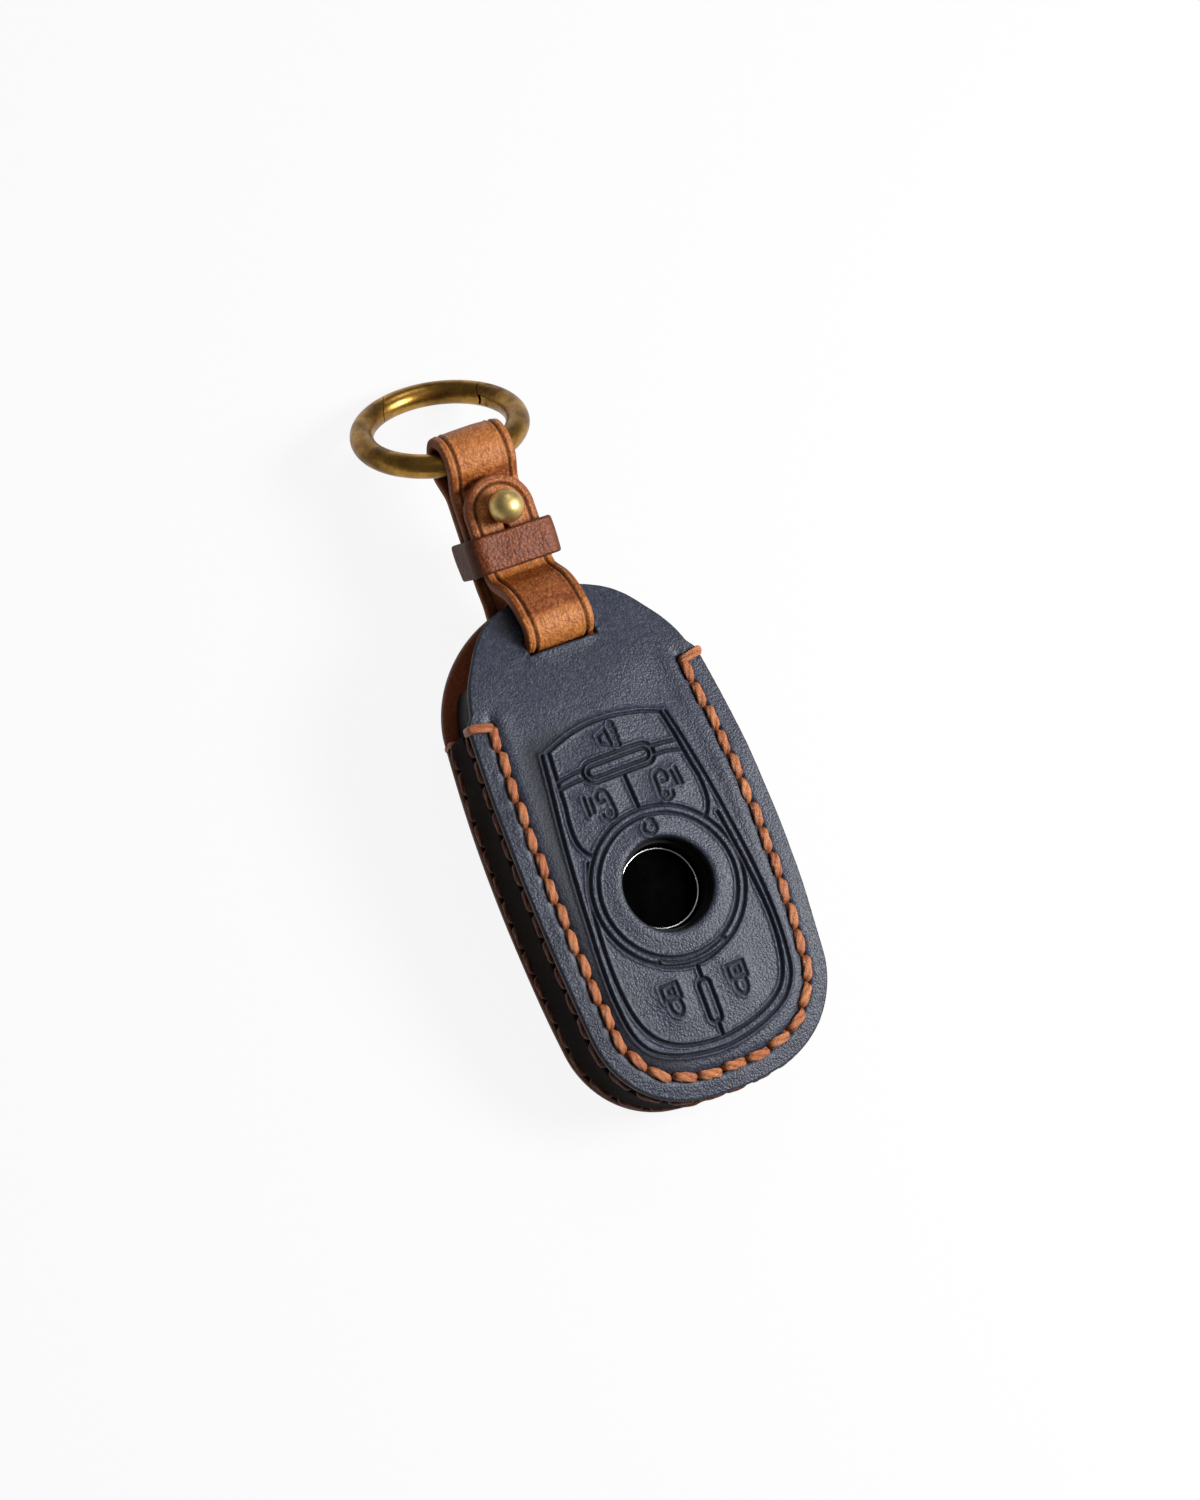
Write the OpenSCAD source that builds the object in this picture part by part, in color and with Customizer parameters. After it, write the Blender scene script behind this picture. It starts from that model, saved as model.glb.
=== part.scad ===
// Leather car-key cover: stitched box case, buttoned strap, spring-gate ring and the key inside.
// The case is drawn lying on its back, then leaned up on its ring by stand().
// X is across the case, Y runs up the case towards the ring, Z points out of the front face.

/* [View] */
// Node to show, or "all"

/* [Case] */
// Width of the case at its widest place
case_w = 44.2; // [38:0.2:60]
// Window centre to the bottom edge
case_low = 34.2; // [28:0.2:50]
// Window centre to the tip of the flaps
case_top = 52.4; // [42:0.2:70]
// Thickness over both panels at the window
case_t = 18.4; // [14:0.5:26]
// Radius of the bottom corners
corner_r = 16.2; // [12:0.5:19]
// Radius of the bottom edge
bottom_r = 45; // [30:1:80]
// Radius of the long sides
side_r = 265; // [180:5:400]
// Normal direction where corner and side meet
side_turn = -5.5; // [-10:0.5:0]
// Leather thickness of panels and gusset
leather_t = 2; // [1.2:0.1:3]
// Radius of the front panel's bow along its length
bow_r = 255; // [150:5:600]
// Radius of the front flap where it closes on the strap
front_flap_r = 78; // [50:1:200]
// Radius of the back flap
back_flap_r = 66; // [40:1:200]
// Clearance between leather and what it holds
fit_gap = 0.3; // [0.1:0.05:0.8]

/* [Window and slots] */
// Diameter of the emblem window
window_d = 15; // [10:0.5:20]
// Window centre to the strap slots
slot_y = 43.4; // [36:0.2:60]
// Opening of a slot along the case
slot_h = 3; // [2.6:0.1:5]

/* [Seam] */
// Seam inset from the panel edge
seam_inset = 3.7; // [2.5:0.1:6]
// Height of a side row above the back face, and below the front face
row_inset = 3.3; // [2.5:0.1:6]
// Stitches between the two ends of the seam
stitch_count = 35; // [20:1:60]
// Thread width
thread_w = 1.5; // [0.8:0.1:2.2]
// Leather left between two stitches
hole_w = 0.7; // [0.3:0.1:1.5]
// Thread standing proud of the leather
thread_out = 0.5; // [0.2:0.05:0.8]
// Depth of the stitching groove
groove_deep = 0.5; // [0.2:0.05:0.8]

/* [Relief] */
// Half width of the button field at its top
field_top_x = 10.4; // [8:0.1:14]
// Half width of the button field at the emblem
field_mid_x = 14.2; // [11:0.1:18]
// Top of the button field above the window centre
field_top_y = 29; // [24:0.2:36]
// Bottom of the button field below the window centre
field_low_y = 27.2; // [22:0.2:32]
// Radius of the ring pressed round the emblem
ring_line_r = 11.5; // [9:0.1:14]
// Step to the second ring outside it
ring_step = 1.6; // [1:0.1:3]
// Width of a pressed line
line_w = 0.8; // [0.4:0.1:1.5]
// Depth of a pressed line
line_deep = 0.45; // [0.2:0.05:0.8]
// Height of the line between upper and middle buttons
bar_y = 21.2; // [17:0.2:24]
// Length of the raised bar on that line
bar_l = 13; // [8:0.5:18]
// Width of the raised bar
bar_w = 3.2; // [2:0.1:5]
// Length of the bar between the lower buttons
low_bar_l = 7.5; // [4:0.5:10]
// Height of a button sign
sign_h = 2.8; // [2:0.1:4]
// Width of a sign's lines
sign_w = 0.5; // [0.3:0.05:0.8]

/* [Key] */
// Top of the key above the window centre
key_top = 41; // [34:0.2:60]
// Height of the split line of the key's shell
key_split = 9; // [6:0.2:14]
// Emblem face below the outer face of the leather
emblem_deep = 5; // [3:0.1:7]
// Diameter of the emblem disc
emblem_d = 12.6; // [9:0.1:18]
// Width of the bright rim round the disc
rim_w = 0.7; // [0.4:0.1:1.5]
// Thickness of the emblem disc
emblem_t = 1; // [0.5:0.1:2]

/* [Strap] */
// Strap width
strap_w = 12; // [9:0.5:16]
// Strap thickness
strap_t = 2; // [1.4:0.1:2.6]
// End of the buttoned tab above the window centre
tab_end = 73.6; // [68:0.2:90]
// Height of the back layer's middle
back_z = 1.6; // [1:0.1:3]
// Crease line's distance from the strap's edge
crease_inset = 1.5; // [0.8:0.1:3]
// Width of a crease line
crease_w = 0.4; // [0.2:0.05:0.8]
// Depth of a crease line
crease_deep = 0.2; // [0.1:0.05:0.5]
// Upward lean of the strap beyond the case
strap_lean = 9; // [0:1:14]
// Inner bend radius where the strap turns through the case
turn_r = 1.4; // [0.8:0.1:3]

/* [Stud and keeper] */
// Stud above the window centre
stud_y = 68; // [64:0.2:80]
// Diameter of the stud's ball
ball_d = 5.7; // [4:0.1:8]
// Diameter of the stud's neck
neck_d = 3.4; // [2.4:0.1:5]
// Diameter of the stud's foot
foot_d = 6.4; // [5:0.1:9]
// Thickness of the foot
foot_t = 1; // [0.6:0.1:2]
// Diameter of the screw's shank
screw_d = 2; // [1.6:0.1:3]
// Diameter of the screw's head
head_d = 5.6; // [5:0.1:9]
// Thickness of the screw's head
head_t = 0.9; // [0.6:0.1:1.5]
// Length of screw inside the stud
screw_in = 3; // [2:0.1:4]
// Width of the slit beside the buttonhole
slit_w = 0.6; // [0.4:0.1:1.2]
// Length of the slit from the stud's axis
slit_l = 3.6; // [3:0.1:5]
// Keeper centre above the window centre
keeper_y = 61.4; // [58:0.2:76]
// Keeper length along the strap
keeper_l = 6.2; // [4:0.1:9]
// Keeper wall
keeper_t = 1.5; // [1:0.1:2.5]
// Slack of the keeper over the tab
keeper_slack = 0.5; // [0.2:0.05:1]
// Radius of the keeper's inner corners
keeper_in_r = 0.6; // [0.3:0.1:1.2]

/* [Ring] */
// Radius of the ring's wire centre line
ring_r = 13; // [10:0.1:18]
// Wire diameter
wire_d = 4; // [2.5:0.1:5]
// Centre of the strap's loop above the window centre
loop_y = 77.4; // [74:0.2:95]
// Angle of the ring below the strap
ring_drop = 59; // [20:1:75]
// Direction of the gate's pin seen from the ring's centre
pin_at = 24; // [0:1:40]
// Direction of the gate's closing end
gate_end = 110; // [90:1:130]
// Lean of the closing face, so the gate can leave it
gate_lean = 46; // [44:1:60]
// Thickness of the gate's tongue
tongue_t = 1.5; // [1:0.1:2.2]
// Diameter of the gate's pin
pin_d = 1.2; // [0.8:0.1:1.8]
// Running clearance in the gate's hinge
run_gap = 0.12; // [0.05:0.01:0.3]
// Thickness of the gate's leaf spring
spring_t = 0.4; // [0.2:0.05:0.6]

/* [Hidden] */
$fn = 64;
eps = 0.01;
far = 200;
// Play round small fitted parts
play = 0.1;

// Edge of the case: four tangent arcs from the bottom (-90) to the tip (90), told apart by normal direction
corner_x = case_w / 2 - side_r + (side_r - corner_r) * cos(side_turn);
low_turn = -acos(corner_x / (bottom_r - corner_r));
bottom_c = [0, bottom_r - case_low];
corner_c = bottom_c + (bottom_r - corner_r) * [cos(low_turn), sin(low_turn)];
side_c = corner_c + (corner_r - side_r) * [cos(side_turn), sin(side_turn)];
top_turn = 90 - 2 * atan((side_c[1] + side_r - case_top) / -side_c[0]);
tip_r = side_r + side_c[0] / cos(top_turn);
tip_c = side_c + (side_r - tip_r) * [cos(top_turn), sin(top_turn)];
seam_y = tip_c[1] + tip_r * sin(top_turn);

function rim_centre(a) = a < low_turn ? bottom_c : a < side_turn ? corner_c : a < top_turn ? side_c : tip_c;
function rim_radius(a) = a < low_turn ? bottom_r : a < side_turn ? corner_r : a < top_turn ? side_r : tip_r;
function rim(a, d) = rim_centre(a) + (rim_radius(a) - d) * [cos(a), sin(a)];
function steps(a, b, n) = [for (i = [0 : n - 1]) a + (b - a) * i / n];
rim_turns = concat(steps(-90, low_turn, 4), steps(low_turn, side_turn, 16), steps(side_turn, top_turn, 8),
    steps(top_turn, 90, 20), [90]);
last_turn = len(rim_turns) - 1;

// Normal direction at a length s along the edge, from the bottom, at depth d
function bottom_s(d) = (bottom_r - d) * (low_turn + 90) * PI / 180;
function corner_s(d) = bottom_s(d) + (corner_r - d) * (side_turn - low_turn) * PI / 180;
function seam_s(d) = corner_s(d) + (side_r - d) * (top_turn - side_turn) * PI / 180;
function turn_at(s, d) = s < bottom_s(d) ? -90 + s / (bottom_r - d) * 180 / PI
    : s < corner_s(d) ? low_turn + (s - bottom_s(d)) / (corner_r - d) * 180 / PI
    : side_turn + (s - corner_s(d)) / (side_r - d) * 180 / PI;

// Front face along the case: a long bow, then the tighter arc of the flap
bow_c = [0, case_t - bow_r];
flap_turn = asin(seam_y / bow_r);
flap_c = bow_c + (bow_r - front_flap_r) * [sin(flap_turn), cos(flap_turn)];
over = 1;
low_tilt = -asin((case_low + 3 * leather_t) / bow_r);
flap_tilt = asin((case_top + over - flap_c[0]) / (front_flap_r - leather_t));
function face(a, d) = a < flap_turn ? bow_c + (bow_r - d) * [sin(a), cos(a)]
    : flap_c + (front_flap_r - d) * [sin(a), cos(a)];
function face_z(y, d) = y < seam_y ? bow_c[1] + sqrt(pow(bow_r - d, 2) - y * y)
    : flap_c[1] + sqrt(pow(front_flap_r - d, 2) - pow(y - flap_c[0], 2));
face_tilts = concat(steps(low_tilt, flap_turn, 24), steps(flap_turn, flap_tilt, 12), [flap_tilt]);
function face_line(d) = [for (a = face_tilts) face(a, d)];
function turned(p) = [for (i = [len(p) - 1 : -1 : 0]) p[i]];

// Back face along the case: flat, then the flap rising to meet the strap
back_tilt = asin((case_top + over - seam_y) / (back_flap_r - leather_t));
back_tilts = concat(steps(0, back_tilt, 12), [back_tilt]);
function back_line(d) = concat([[-case_low - 2 * leather_t, d]],
    [for (a = back_tilts) [seam_y + (back_flap_r - d) * sin(a), back_flap_r - (back_flap_r - d) * cos(a)]]);

// Strap heights: back layer, front layer and buttoned tab
front_z = back_z + strap_t + fit_gap;
tab_z = front_z + strap_t + foot_t + 1.6 * fit_gap;
wire_r = wire_d / 2;
wire_sag = ring_r - sqrt(ring_r * ring_r - strap_w * strap_w / 4);
loop_r = wire_r + wire_sag / 2 + fit_gap + strap_t / 2;
loop_z = (back_z + front_z) / 2;
loop_in = 1.3 * loop_r;
climb_y = keeper_y - keeper_l / 2 - strap_t;
flap_tip_z = face_z(case_top, 0);
crest = [case_top + 0.3 * strap_t, flap_tip_z + 1.9 * strap_t];
bulge = [slot_y, crest[1] + strap_t];
dive = [slot_y, -0.8 * strap_t];
behind = [case_top + strap_t / 2, back_z];
pivot = [climb_y, back_z];
function lean(p) = pivot + [
    (p[0] - pivot[0]) * cos(strap_lean) - (p[1] - pivot[1]) * sin(strap_lean),
    (p[0] - pivot[0]) * sin(strap_lean) + (p[1] - pivot[1]) * cos(strap_lean)
];
loop_gap = norm([loop_in, loop_z - back_z]);
loop_a = 180 + atan((loop_z - back_z) / loop_in) + acos(loop_r / loop_gap);
loop_arc = [for (i = [0 : 40]) lean([loop_y, loop_z]
    + loop_r * [cos(loop_a + (720 - 2 * loop_a) * i / 40), sin(loop_a + (720 - 2 * loop_a) * i / 40)])];

// Rounded corner b of a path a-b-c
function unit(v) = v / norm(v);
function bend(a, b, c, r, n = 8) = let(
    u = unit(a - b),
    w = unit(c - b),
    half = acos(u * w) / 2,
    m = b + unit(u + w) * r / sin(half),
    p = b + u * r / tan(half) - m,
    sweep = (u[0] * w[1] - u[1] * w[0] > 0 ? -1 : 1) * (180 - 2 * half),
    start = atan2(p[1], p[0])
) [for (i = [0 : n]) m + r * [cos(start + sweep * i / n), sin(start + sweep * i / n)]];

// Both sides of a path, for a band of thickness t
function along(p, i) = unit(p[min(i + 1, len(p) - 1)] - p[max(i - 1, 0)]);
function side_of(p, t) = [for (i = [0 : len(p) - 1]) p[i] + t * [-along(p, i)[1], along(p, i)[0]]];

// Ring place and the angle at which it props the case up
ring_reach = ring_r - wire_sag / 2;
loop_c = lean([loop_y, loop_z]);
ring_fall = ring_drop - strap_lean;
ring_far = [loop_c[0] + (ring_reach + ring_r) * cos(ring_fall) + case_low,
    loop_c[1] - (ring_reach + ring_r) * sin(ring_fall)];
prop = atan2(-ring_far[1], ring_far[0]) + asin(wire_r / norm(ring_far));
y_max = ring_far[0] * cos(prop) - ring_far[1] * sin(prop) + wire_r;
y_min = -face_z(-case_low, 0) * sin(prop);
y_mid = (y_max + y_min) / 2;

// Leans the case up: it stands on the bottom edge of its back and on the ring
module stand() {
    translate([0, -y_mid, 0])
    rotate([prop, 0, 0])
    translate([0, case_low, 0])
    children();
}

// Leans the strap's stack, and what is on it, up from the case
module leaned() {
    translate([0, pivot[0], pivot[1]])
    rotate([strap_lean, 0, 0])
    translate([0, -pivot[0], -pivot[1]])
    children();
}

// Outline of the case, d inside its edge
module outline(d) {
    right = [for (a = rim_turns) rim(a, d)];
    left = [for (i = [last_turn - 1 : -1 : 1]) [-right[i][0], right[i][1]]];
    polygon(concat(right, left));
}

// Side profile drawn in Y and Z, as wide as w
module across(w) {
    rotate([90, 0, 90])
    linear_extrude(w, center = true)
    children();
}

// Layer of the front face between the depths a and b
module face_layer(a, b) {
    across(far)
    polygon(concat(face_line(a), turned(face_line(b))));
}

// Layer of the back face between the depths a and b
module back_layer(a, b) {
    across(far)
    polygon(concat(back_line(a), turned(back_line(b))));
}

// Everything below the line y
module below(y) {
    translate([-far / 2, y - far, -far / 2])
    cube([far, far, far]);
}

// Flat ring band between two insets
module seam_band(a, b) {
    difference() {
        outline(a);
        outline(b);
    }
}

// Capsule of length l and width w, along X
module capsule(l, w) {
    square([l - w, w], center = true);
    for (s = [-1, 1])
        translate([s * (l - w) / 2, 0])
        circle(d = w);
}

// Straight pressed line between two points
module stroke(a, b, w) {
    v = b - a;
    translate((a + b) / 2)
    rotate(atan2(v[1], v[0]))
    capsule(norm(v) + w, w);
}

// Line through a list of points
module path_line(p, w) {
    for (i = [0 : len(p) - 2])
        stroke(p[i], p[i + 1], w);
}

module circle_line(r, w) {
    difference() {
        circle(r + w / 2);
        circle(r - w / 2);
    }
}

// Points of the button field's edge, right half from the top down
field_top_r = 2.1 * field_top_x;
field_corner_r = 5;
field_spread = field_mid_x - field_top_x;
field_side = [
    [field_top_x + 0.1 * field_spread, 0.9 * field_top_y],
    [field_top_x + 0.4 * field_spread, 0.7 * field_top_y],
    [field_mid_x - 0.3 * field_spread, 0.3 * field_top_y],
    [field_mid_x, 0],
    [field_mid_x, -0.6 * field_low_y]
];
field_low = bend([field_mid_x, -0.6 * field_low_y], [field_mid_x - 1.4, 1.4 - field_low_y],
    [0, -field_low_y], field_corner_r);
field_top = [for (a = [0 : 4 : 24]) [field_top_r * sin(a), field_top_y - field_top_r * (1 - cos(a))]];
field_half = concat(field_top, field_side, field_low, [[0, -field_low_y]]);

// Lines pressed into the front by the key's buttons
module relief_lines() {
    circle_line(ring_line_r, line_w);
    circle_line(ring_line_r + ring_step, line_w);
    for (s = [-1, 1])
        path_line([for (p = field_half) [s * p[0], p[1]]], line_w);
    for (s = [-1, 1])
        stroke([s * bar_l / 2, bar_y], [s * (field_top_x + 1), bar_y - 0.8], line_w);
    translate([0, bar_y])
    difference() {
        capsule(bar_l + line_w, bar_w + line_w);
        capsule(bar_l - line_w, bar_w - line_w);
    }
    stroke([0, bar_y - bar_w / 2], [0, ring_line_r + ring_step], line_w);
    stroke([0, -ring_line_r - ring_step], [0, -field_low_y], line_w);
    translate([0, -(ring_line_r + ring_step + field_low_y) / 2])
    rotate(90)
    capsule(low_bar_l, sign_h * 0.65);
    horn_sign();
    for (s = [-1, 1])
        translate([s * field_top_x * 0.55, (bar_y + ring_line_r) / 2])
        door_sign();
    for (s = [-1, 1])
        translate([s * field_mid_x * 0.43, -ring_line_r - ring_step - 1.6 * sign_h])
        lock_sign();
}

// Plain horn sign of the alarm button
module horn_sign() {
    half = sign_h / 2;
    translate([0, (bar_y + bar_w / 2 + field_top_y) / 2]) {
        stroke([-half, 0], [half, 0], sign_w);
        stroke([half, -0.8 * half], [half, 0.8 * half], sign_w);
        stroke([-half, -0.4 * half], [-half, 0.4 * half], sign_w);
    }
}

// Plain door sign of the two middle buttons
module door_sign() {
    difference() {
        square([1.5 * sign_h, sign_h], center = true);
        square([1.5 * sign_h - 2 * sign_w, sign_h - 2 * sign_w], center = true);
    }
    stroke([0, sign_w - sign_h / 2], [0, sign_h / 2 - sign_w], sign_w);
}

// Plain padlock sign of the two lower buttons
module lock_sign() {
    shackle_r = 0.4 * sign_h;
    square([1.1 * sign_h, 0.85 * sign_h], center = true);
    translate([0, shackle_r])
    intersection() {
        circle_line(shackle_r, sign_w);
        translate([-sign_h, 0])
        square([2 * sign_h, sign_h]);
    }
}

// Slot for the strap, cut across a flap
module slot() {
    translate([0, slot_y, 0])
    cube([strap_w + 2 * fit_gap + 4 * play, slot_h, far], center = true);
}

// Stitch places: lengths along the seam, counted from the bottom
seam_half = seam_s(seam_inset);
pitch = 2 * seam_half / stitch_count;
stitch_l = pitch - hole_w;

// Places the children on the seam at length s from the bottom and depth d; negative s is the left half
module at_seam(s, d) {
    a = turn_at(abs(s), seam_inset);
    mirror([s < 0 ? 1 : 0, 0, 0])
    translate(rim(a, d))
    rotate(a + 90)
    children();
}

// Flat stitches of one face, as tall as the children of the caller need
module flat_stitches() {
    for (i = [0 : stitch_count - 1])
        at_seam(-seam_half + pitch * (i + 0.5), seam_inset)
        capsule(stitch_l, thread_w);
}

// Stitch lying on the case's side, its middle at height z
module side_stitch(s, z) {
    y = rim(turn_at(abs(s), seam_inset), 0)[1];
    translate([0, 0, z])
    at_seam(s, thread_w)
    rotate([90, 0, 0])
    linear_extrude(thread_w + thread_out)
    capsule(stitch_l, thread_w);
}

function side_y(s) = rim(turn_at(abs(s), seam_inset), 0)[1];

module front_panel() {
    color("slategray")
    stand()
    difference() {
        intersection() {
            linear_extrude(case_t + 1)
            outline(0);
            face_layer(0, leather_t);
        }
        cylinder(h = far, d = window_d);
        slot();
        intersection() {
            linear_extrude(far)
            seam_band(seam_inset - thread_w / 2 - play, seam_inset + thread_w / 2 + play);
            face_layer(-1, groove_deep);
            below(seam_y);
        }
        intersection() {
            linear_extrude(far)
            relief_lines();
            face_layer(-1, line_deep);
        }
    }
}

module back_panel() {
    color("slategray")
    stand()
    difference() {
        intersection() {
            translate([0, 0, -1])
            linear_extrude(case_t)
            outline(0);
            back_layer(0, leather_t);
        }
        slot();
        intersection() {
            translate([0, 0, -1])
            linear_extrude(1 + groove_deep)
            seam_band(seam_inset - thread_w / 2 - play, seam_inset + thread_w / 2 + play);
            below(seam_y);
        }
    }
}

module side_gusset() {
    color("darkslategray")
    stand()
    intersection() {
        linear_extrude(case_t)
        seam_band(0, leather_t);
        across(far)
        polygon(concat(back_line(leather_t), turned(face_line(leather_t))));
        below(seam_y);
    }
}

module front_face_stitches() {
    color("peru")
    stand()
    intersection() {
        linear_extrude(far)
        flat_stitches();
        face_layer(-thread_out, groove_deep);
    }
}

module back_face_stitches() {
    color("peru")
    stand()
    translate([0, 0, -thread_out / 2])
    linear_extrude(thread_out / 2 + groove_deep)
    flat_stitches();
}

module front_side_stitches() {
    color("peru")
    stand()
    difference() {
        for (i = [0 : stitch_count - 1]) {
            s = -seam_half + pitch * (i + 0.5);
            side_stitch(s, face_z(side_y(s), row_inset));
        }
        linear_extrude(far)
        outline(0);
    }
}

module back_side_stitches() {
    color("peru")
    stand()
    difference() {
        for (i = [0 : stitch_count - 1])
            side_stitch(-seam_half + pitch * (i + 0.5), row_inset);
        linear_extrude(far)
        outline(0);
    }
}

// Key body between two heights, clear of the leather all round
module key_slab() {
    intersection() {
        linear_extrude(case_t)
        outline(leather_t + fit_gap);
        across(far)
        polygon(concat(back_line(leather_t + fit_gap / 2), turned(face_line(leather_t + fit_gap / 2))));
        below(key_top);
    }
}

// Height of the emblem's face
emblem_z = case_t - emblem_deep;

module key_shell_front() {
    color("dimgray")
    stand()
    difference() {
        key_slab();
        translate([-far / 2, -far / 2, key_split - far])
        cube(far);
        translate([0, 0, emblem_z - emblem_t])
        cylinder(h = far, d = emblem_d + 2 * rim_w);
    }
}

module key_shell_back() {
    color("dimgray")
    stand()
    difference() {
        key_slab();
        translate([-far / 2, -far / 2, key_split - fit_gap])
        cube(far);
    }
}

module key_emblem() {
    color("black")
    stand()
    translate([0, 0, emblem_z - emblem_t])
    cylinder(h = emblem_t, d = emblem_d);
}

module emblem_rim() {
    color("silver")
    stand()
    translate([0, 0, emblem_z - emblem_t])
    difference() {
        cylinder(h = 1.4 * emblem_t, d = emblem_d + 2 * rim_w);
        translate([0, 0, -eps])
        cylinder(h = 2 * emblem_t, d = emblem_d);
    }
}

// Middle line of the strap, from the tab's end through the case and round the ring
soft_r = 3;
tab_tip = lean([tab_end - 2 * eps, tab_z]);
tab_foot = lean([climb_y, tab_z]);
strap_line = concat(
    [tab_tip],
    bend(tab_tip, tab_foot, crest, 1.2 * soft_r),
    bend(tab_foot, crest, bulge, 2.4 * soft_r),
    bend(crest, bulge, dive, soft_r),
    bend(bulge, dive, behind, 0.75 * (turn_r + strap_t / 2)),
    bend(dive, behind, pivot, 2 * soft_r),
    bend(behind, pivot, lean([loop_y - loop_in, back_z]), 2 * soft_r),
    bend(pivot, lean([loop_y - loop_in, back_z]), loop_arc[0], soft_r),
    loop_arc,
    bend(loop_arc[len(loop_arc) - 1], lean([loop_y - loop_in, front_z]), lean([climb_y, front_z]), soft_r),
    [lean([climb_y + strap_t, front_z])]
);

module strap() {
    color("sienna")
    stand()
    difference() {
        across(strap_w)
        polygon(concat(side_of(strap_line, strap_t / 2), turned(side_of(strap_line, -strap_t / 2))));
        leaned()
        strap_cuts();
        for (s = [-1, 1])
            translate([s * (strap_w / 2 - crease_inset), 0, 0])
            across(crease_w)
            polygon(concat(side_of(strap_line, -strap_t / 2 - crease_w),
                turned(side_of(strap_line, crease_deep - strap_t / 2))));
    }
}

// Round end, buttonhole, screw holes and the loop's round inside
module strap_cuts() {
    translate([0, loop_y, loop_z])
    rotate([0, 90, 0])
    cylinder(h = 2 * strap_w, r = loop_r - strap_t / 2 + 2 * eps, center = true);
    difference() {
        translate([-strap_w, tab_end - strap_w / 2, tab_z - strap_t / 2 - eps])
        cube([2 * strap_w, strap_w / 2 + eps, strap_t + play]);
        translate([0, tab_end - strap_w / 2, tab_z - strap_t])
        cylinder(h = 2 * strap_t, d = strap_w);
    }
    translate([0, stud_y, tab_z - strap_t / 2 - play])
    cylinder(h = strap_t + 2 * play, d = neck_d + 4 * play);
    translate([-slit_w / 2, stud_y, tab_z - strap_t / 2 - play])
    cube([slit_w, slit_l, strap_t + 2 * play]);
    translate([0, stud_y, back_z - strap_t])
    cylinder(h = front_z - back_z + 1.6 * strap_t, d = screw_d + 2 * play);
}

// Stud: foot on the front layer, neck through the tab, ball on top
foot_z = front_z + strap_t / 2;
ball_z = tab_z + strap_t / 2 + ball_d / 2 - play;

module stud() {
    color("darkgoldenrod")
    stand()
    leaned()
    translate([0, stud_y, 0])
    difference() {
        union() {
            translate([0, 0, foot_z])
            cylinder(h = foot_t, d = foot_d);
            translate([0, 0, foot_z])
            cylinder(h = ball_z - foot_z, d = neck_d);
            translate([0, 0, ball_z])
            sphere(d = ball_d);
        }
        translate([0, 0, foot_z - foot_t])
        cylinder(h = foot_t + screw_in + 2 * play, d = screw_d);
    }
}

module stud_screw() {
    color("darkgoldenrod")
    stand()
    leaned()
    translate([0, stud_y, back_z - strap_t / 2])
    difference() {
        union() {
            cylinder(h = foot_z - back_z + strap_t / 2 + screw_in, d = screw_d);
            translate([0, 0, -head_t])
            cylinder(h = head_t, d = head_d);
        }
        translate([0, 0, -head_t])
        cube([head_d + 1, head_t, head_t], center = true);
    }
}

// Section of the keeper, rounded by r
module keeper_section(w, h, r) {
    square([w - 2 * r, h], center = true);
    square([w, h - 2 * r], center = true);
    for (x = [-1, 1], y = [-1, 1])
        translate([x * (w / 2 - r), y * (h / 2 - r)])
        circle(r);
}

keeper_in_w = strap_w + 5 * play;
keeper_in_h = tab_z - back_z + strap_t + 2 * play + keeper_slack;
keeper_z = back_z - strap_t / 2 - 2 * play + keeper_in_h / 2;

module keeper() {
    color("saddlebrown")
    stand()
    leaned()
    translate([0, keeper_y, keeper_z])
    rotate([90, 0, 0])
    linear_extrude(keeper_l, center = true)
    difference() {
        keeper_section(keeper_in_w + 2 * keeper_t, keeper_in_h + 2 * keeper_t, keeper_t + keeper_in_r);
        keeper_section(keeper_in_w, keeper_in_h, keeper_in_r);
    }
}

// Moves the ring's drawing plane (loop at the bottom, X across) into the strap's loop
module hang() {
    stand()
    leaned()
    translate([0, loop_y, loop_z])
    rotate([-ring_drop, 0, 0])
    translate([0, ring_reach, 0])
    children();
}

module wire() {
    rotate_extrude($fn = 128)
    translate([ring_r, 0])
    circle(d = wire_d, $fn = 48);
}

pin_c = ring_r * [cos(pin_at), sin(pin_at)];
cheek_r = wire_r + play / 2;
end_c = ring_r * [cos(gate_end), sin(gate_end)];

// Flat shape covering the gate's stretch of wire, its closing face moved on by g
module gate_zone(g) {
    p = end_c + g * [cos(gate_end + 90 - gate_lean), sin(gate_end + 90 - gate_lean)];
    lean = [cos(gate_end - gate_lean), sin(gate_end - gate_lean)];
    polygon([
        0.5 * pin_c,
        1.5 * pin_c,
        2.6 * ring_r * [cos(pin_at + 25), sin(pin_at + 25)],
        p + 16 * lean,
        p - 8 * lean
    ]);
}

// Slab of the tongue's thickness, widened by g
module tongue_slab(g) {
    linear_extrude(tongue_t + 2 * g, center = true)
    children();
}

module ring_body() {
    color("goldenrod")
    hang()
    difference() {
        union() {
            difference() {
                wire();
                linear_extrude(3 * wire_d, center = true)
                gate_zone(run_gap);
            }
            intersection() {
                wire();
                translate(pin_c)
                cylinder(h = 3 * wire_d, r = cheek_r, center = true);
            }
        }
        tongue_slab(run_gap)
        translate(pin_c)
        circle(cheek_r + run_gap);
        translate(pin_c)
        cylinder(h = 3 * wire_d, d = pin_d, center = true);
        tongue_slab(-2 * play)
        spring_shape(play);
    }
}

// Leaf spring lying in the wire, pushing the tongue outward
spring_from = pin_at - 26;
spring_to = pin_at - 9.2;

module spring_shape(g) {
    intersection() {
        circle_line(ring_r - 1.5 * spring_t, spring_t + 2 * g);
        polygon([[0, 0], far * [cos(spring_from), sin(spring_from)], far * [cos(spring_to), sin(spring_to)]]);
    }
}

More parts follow.
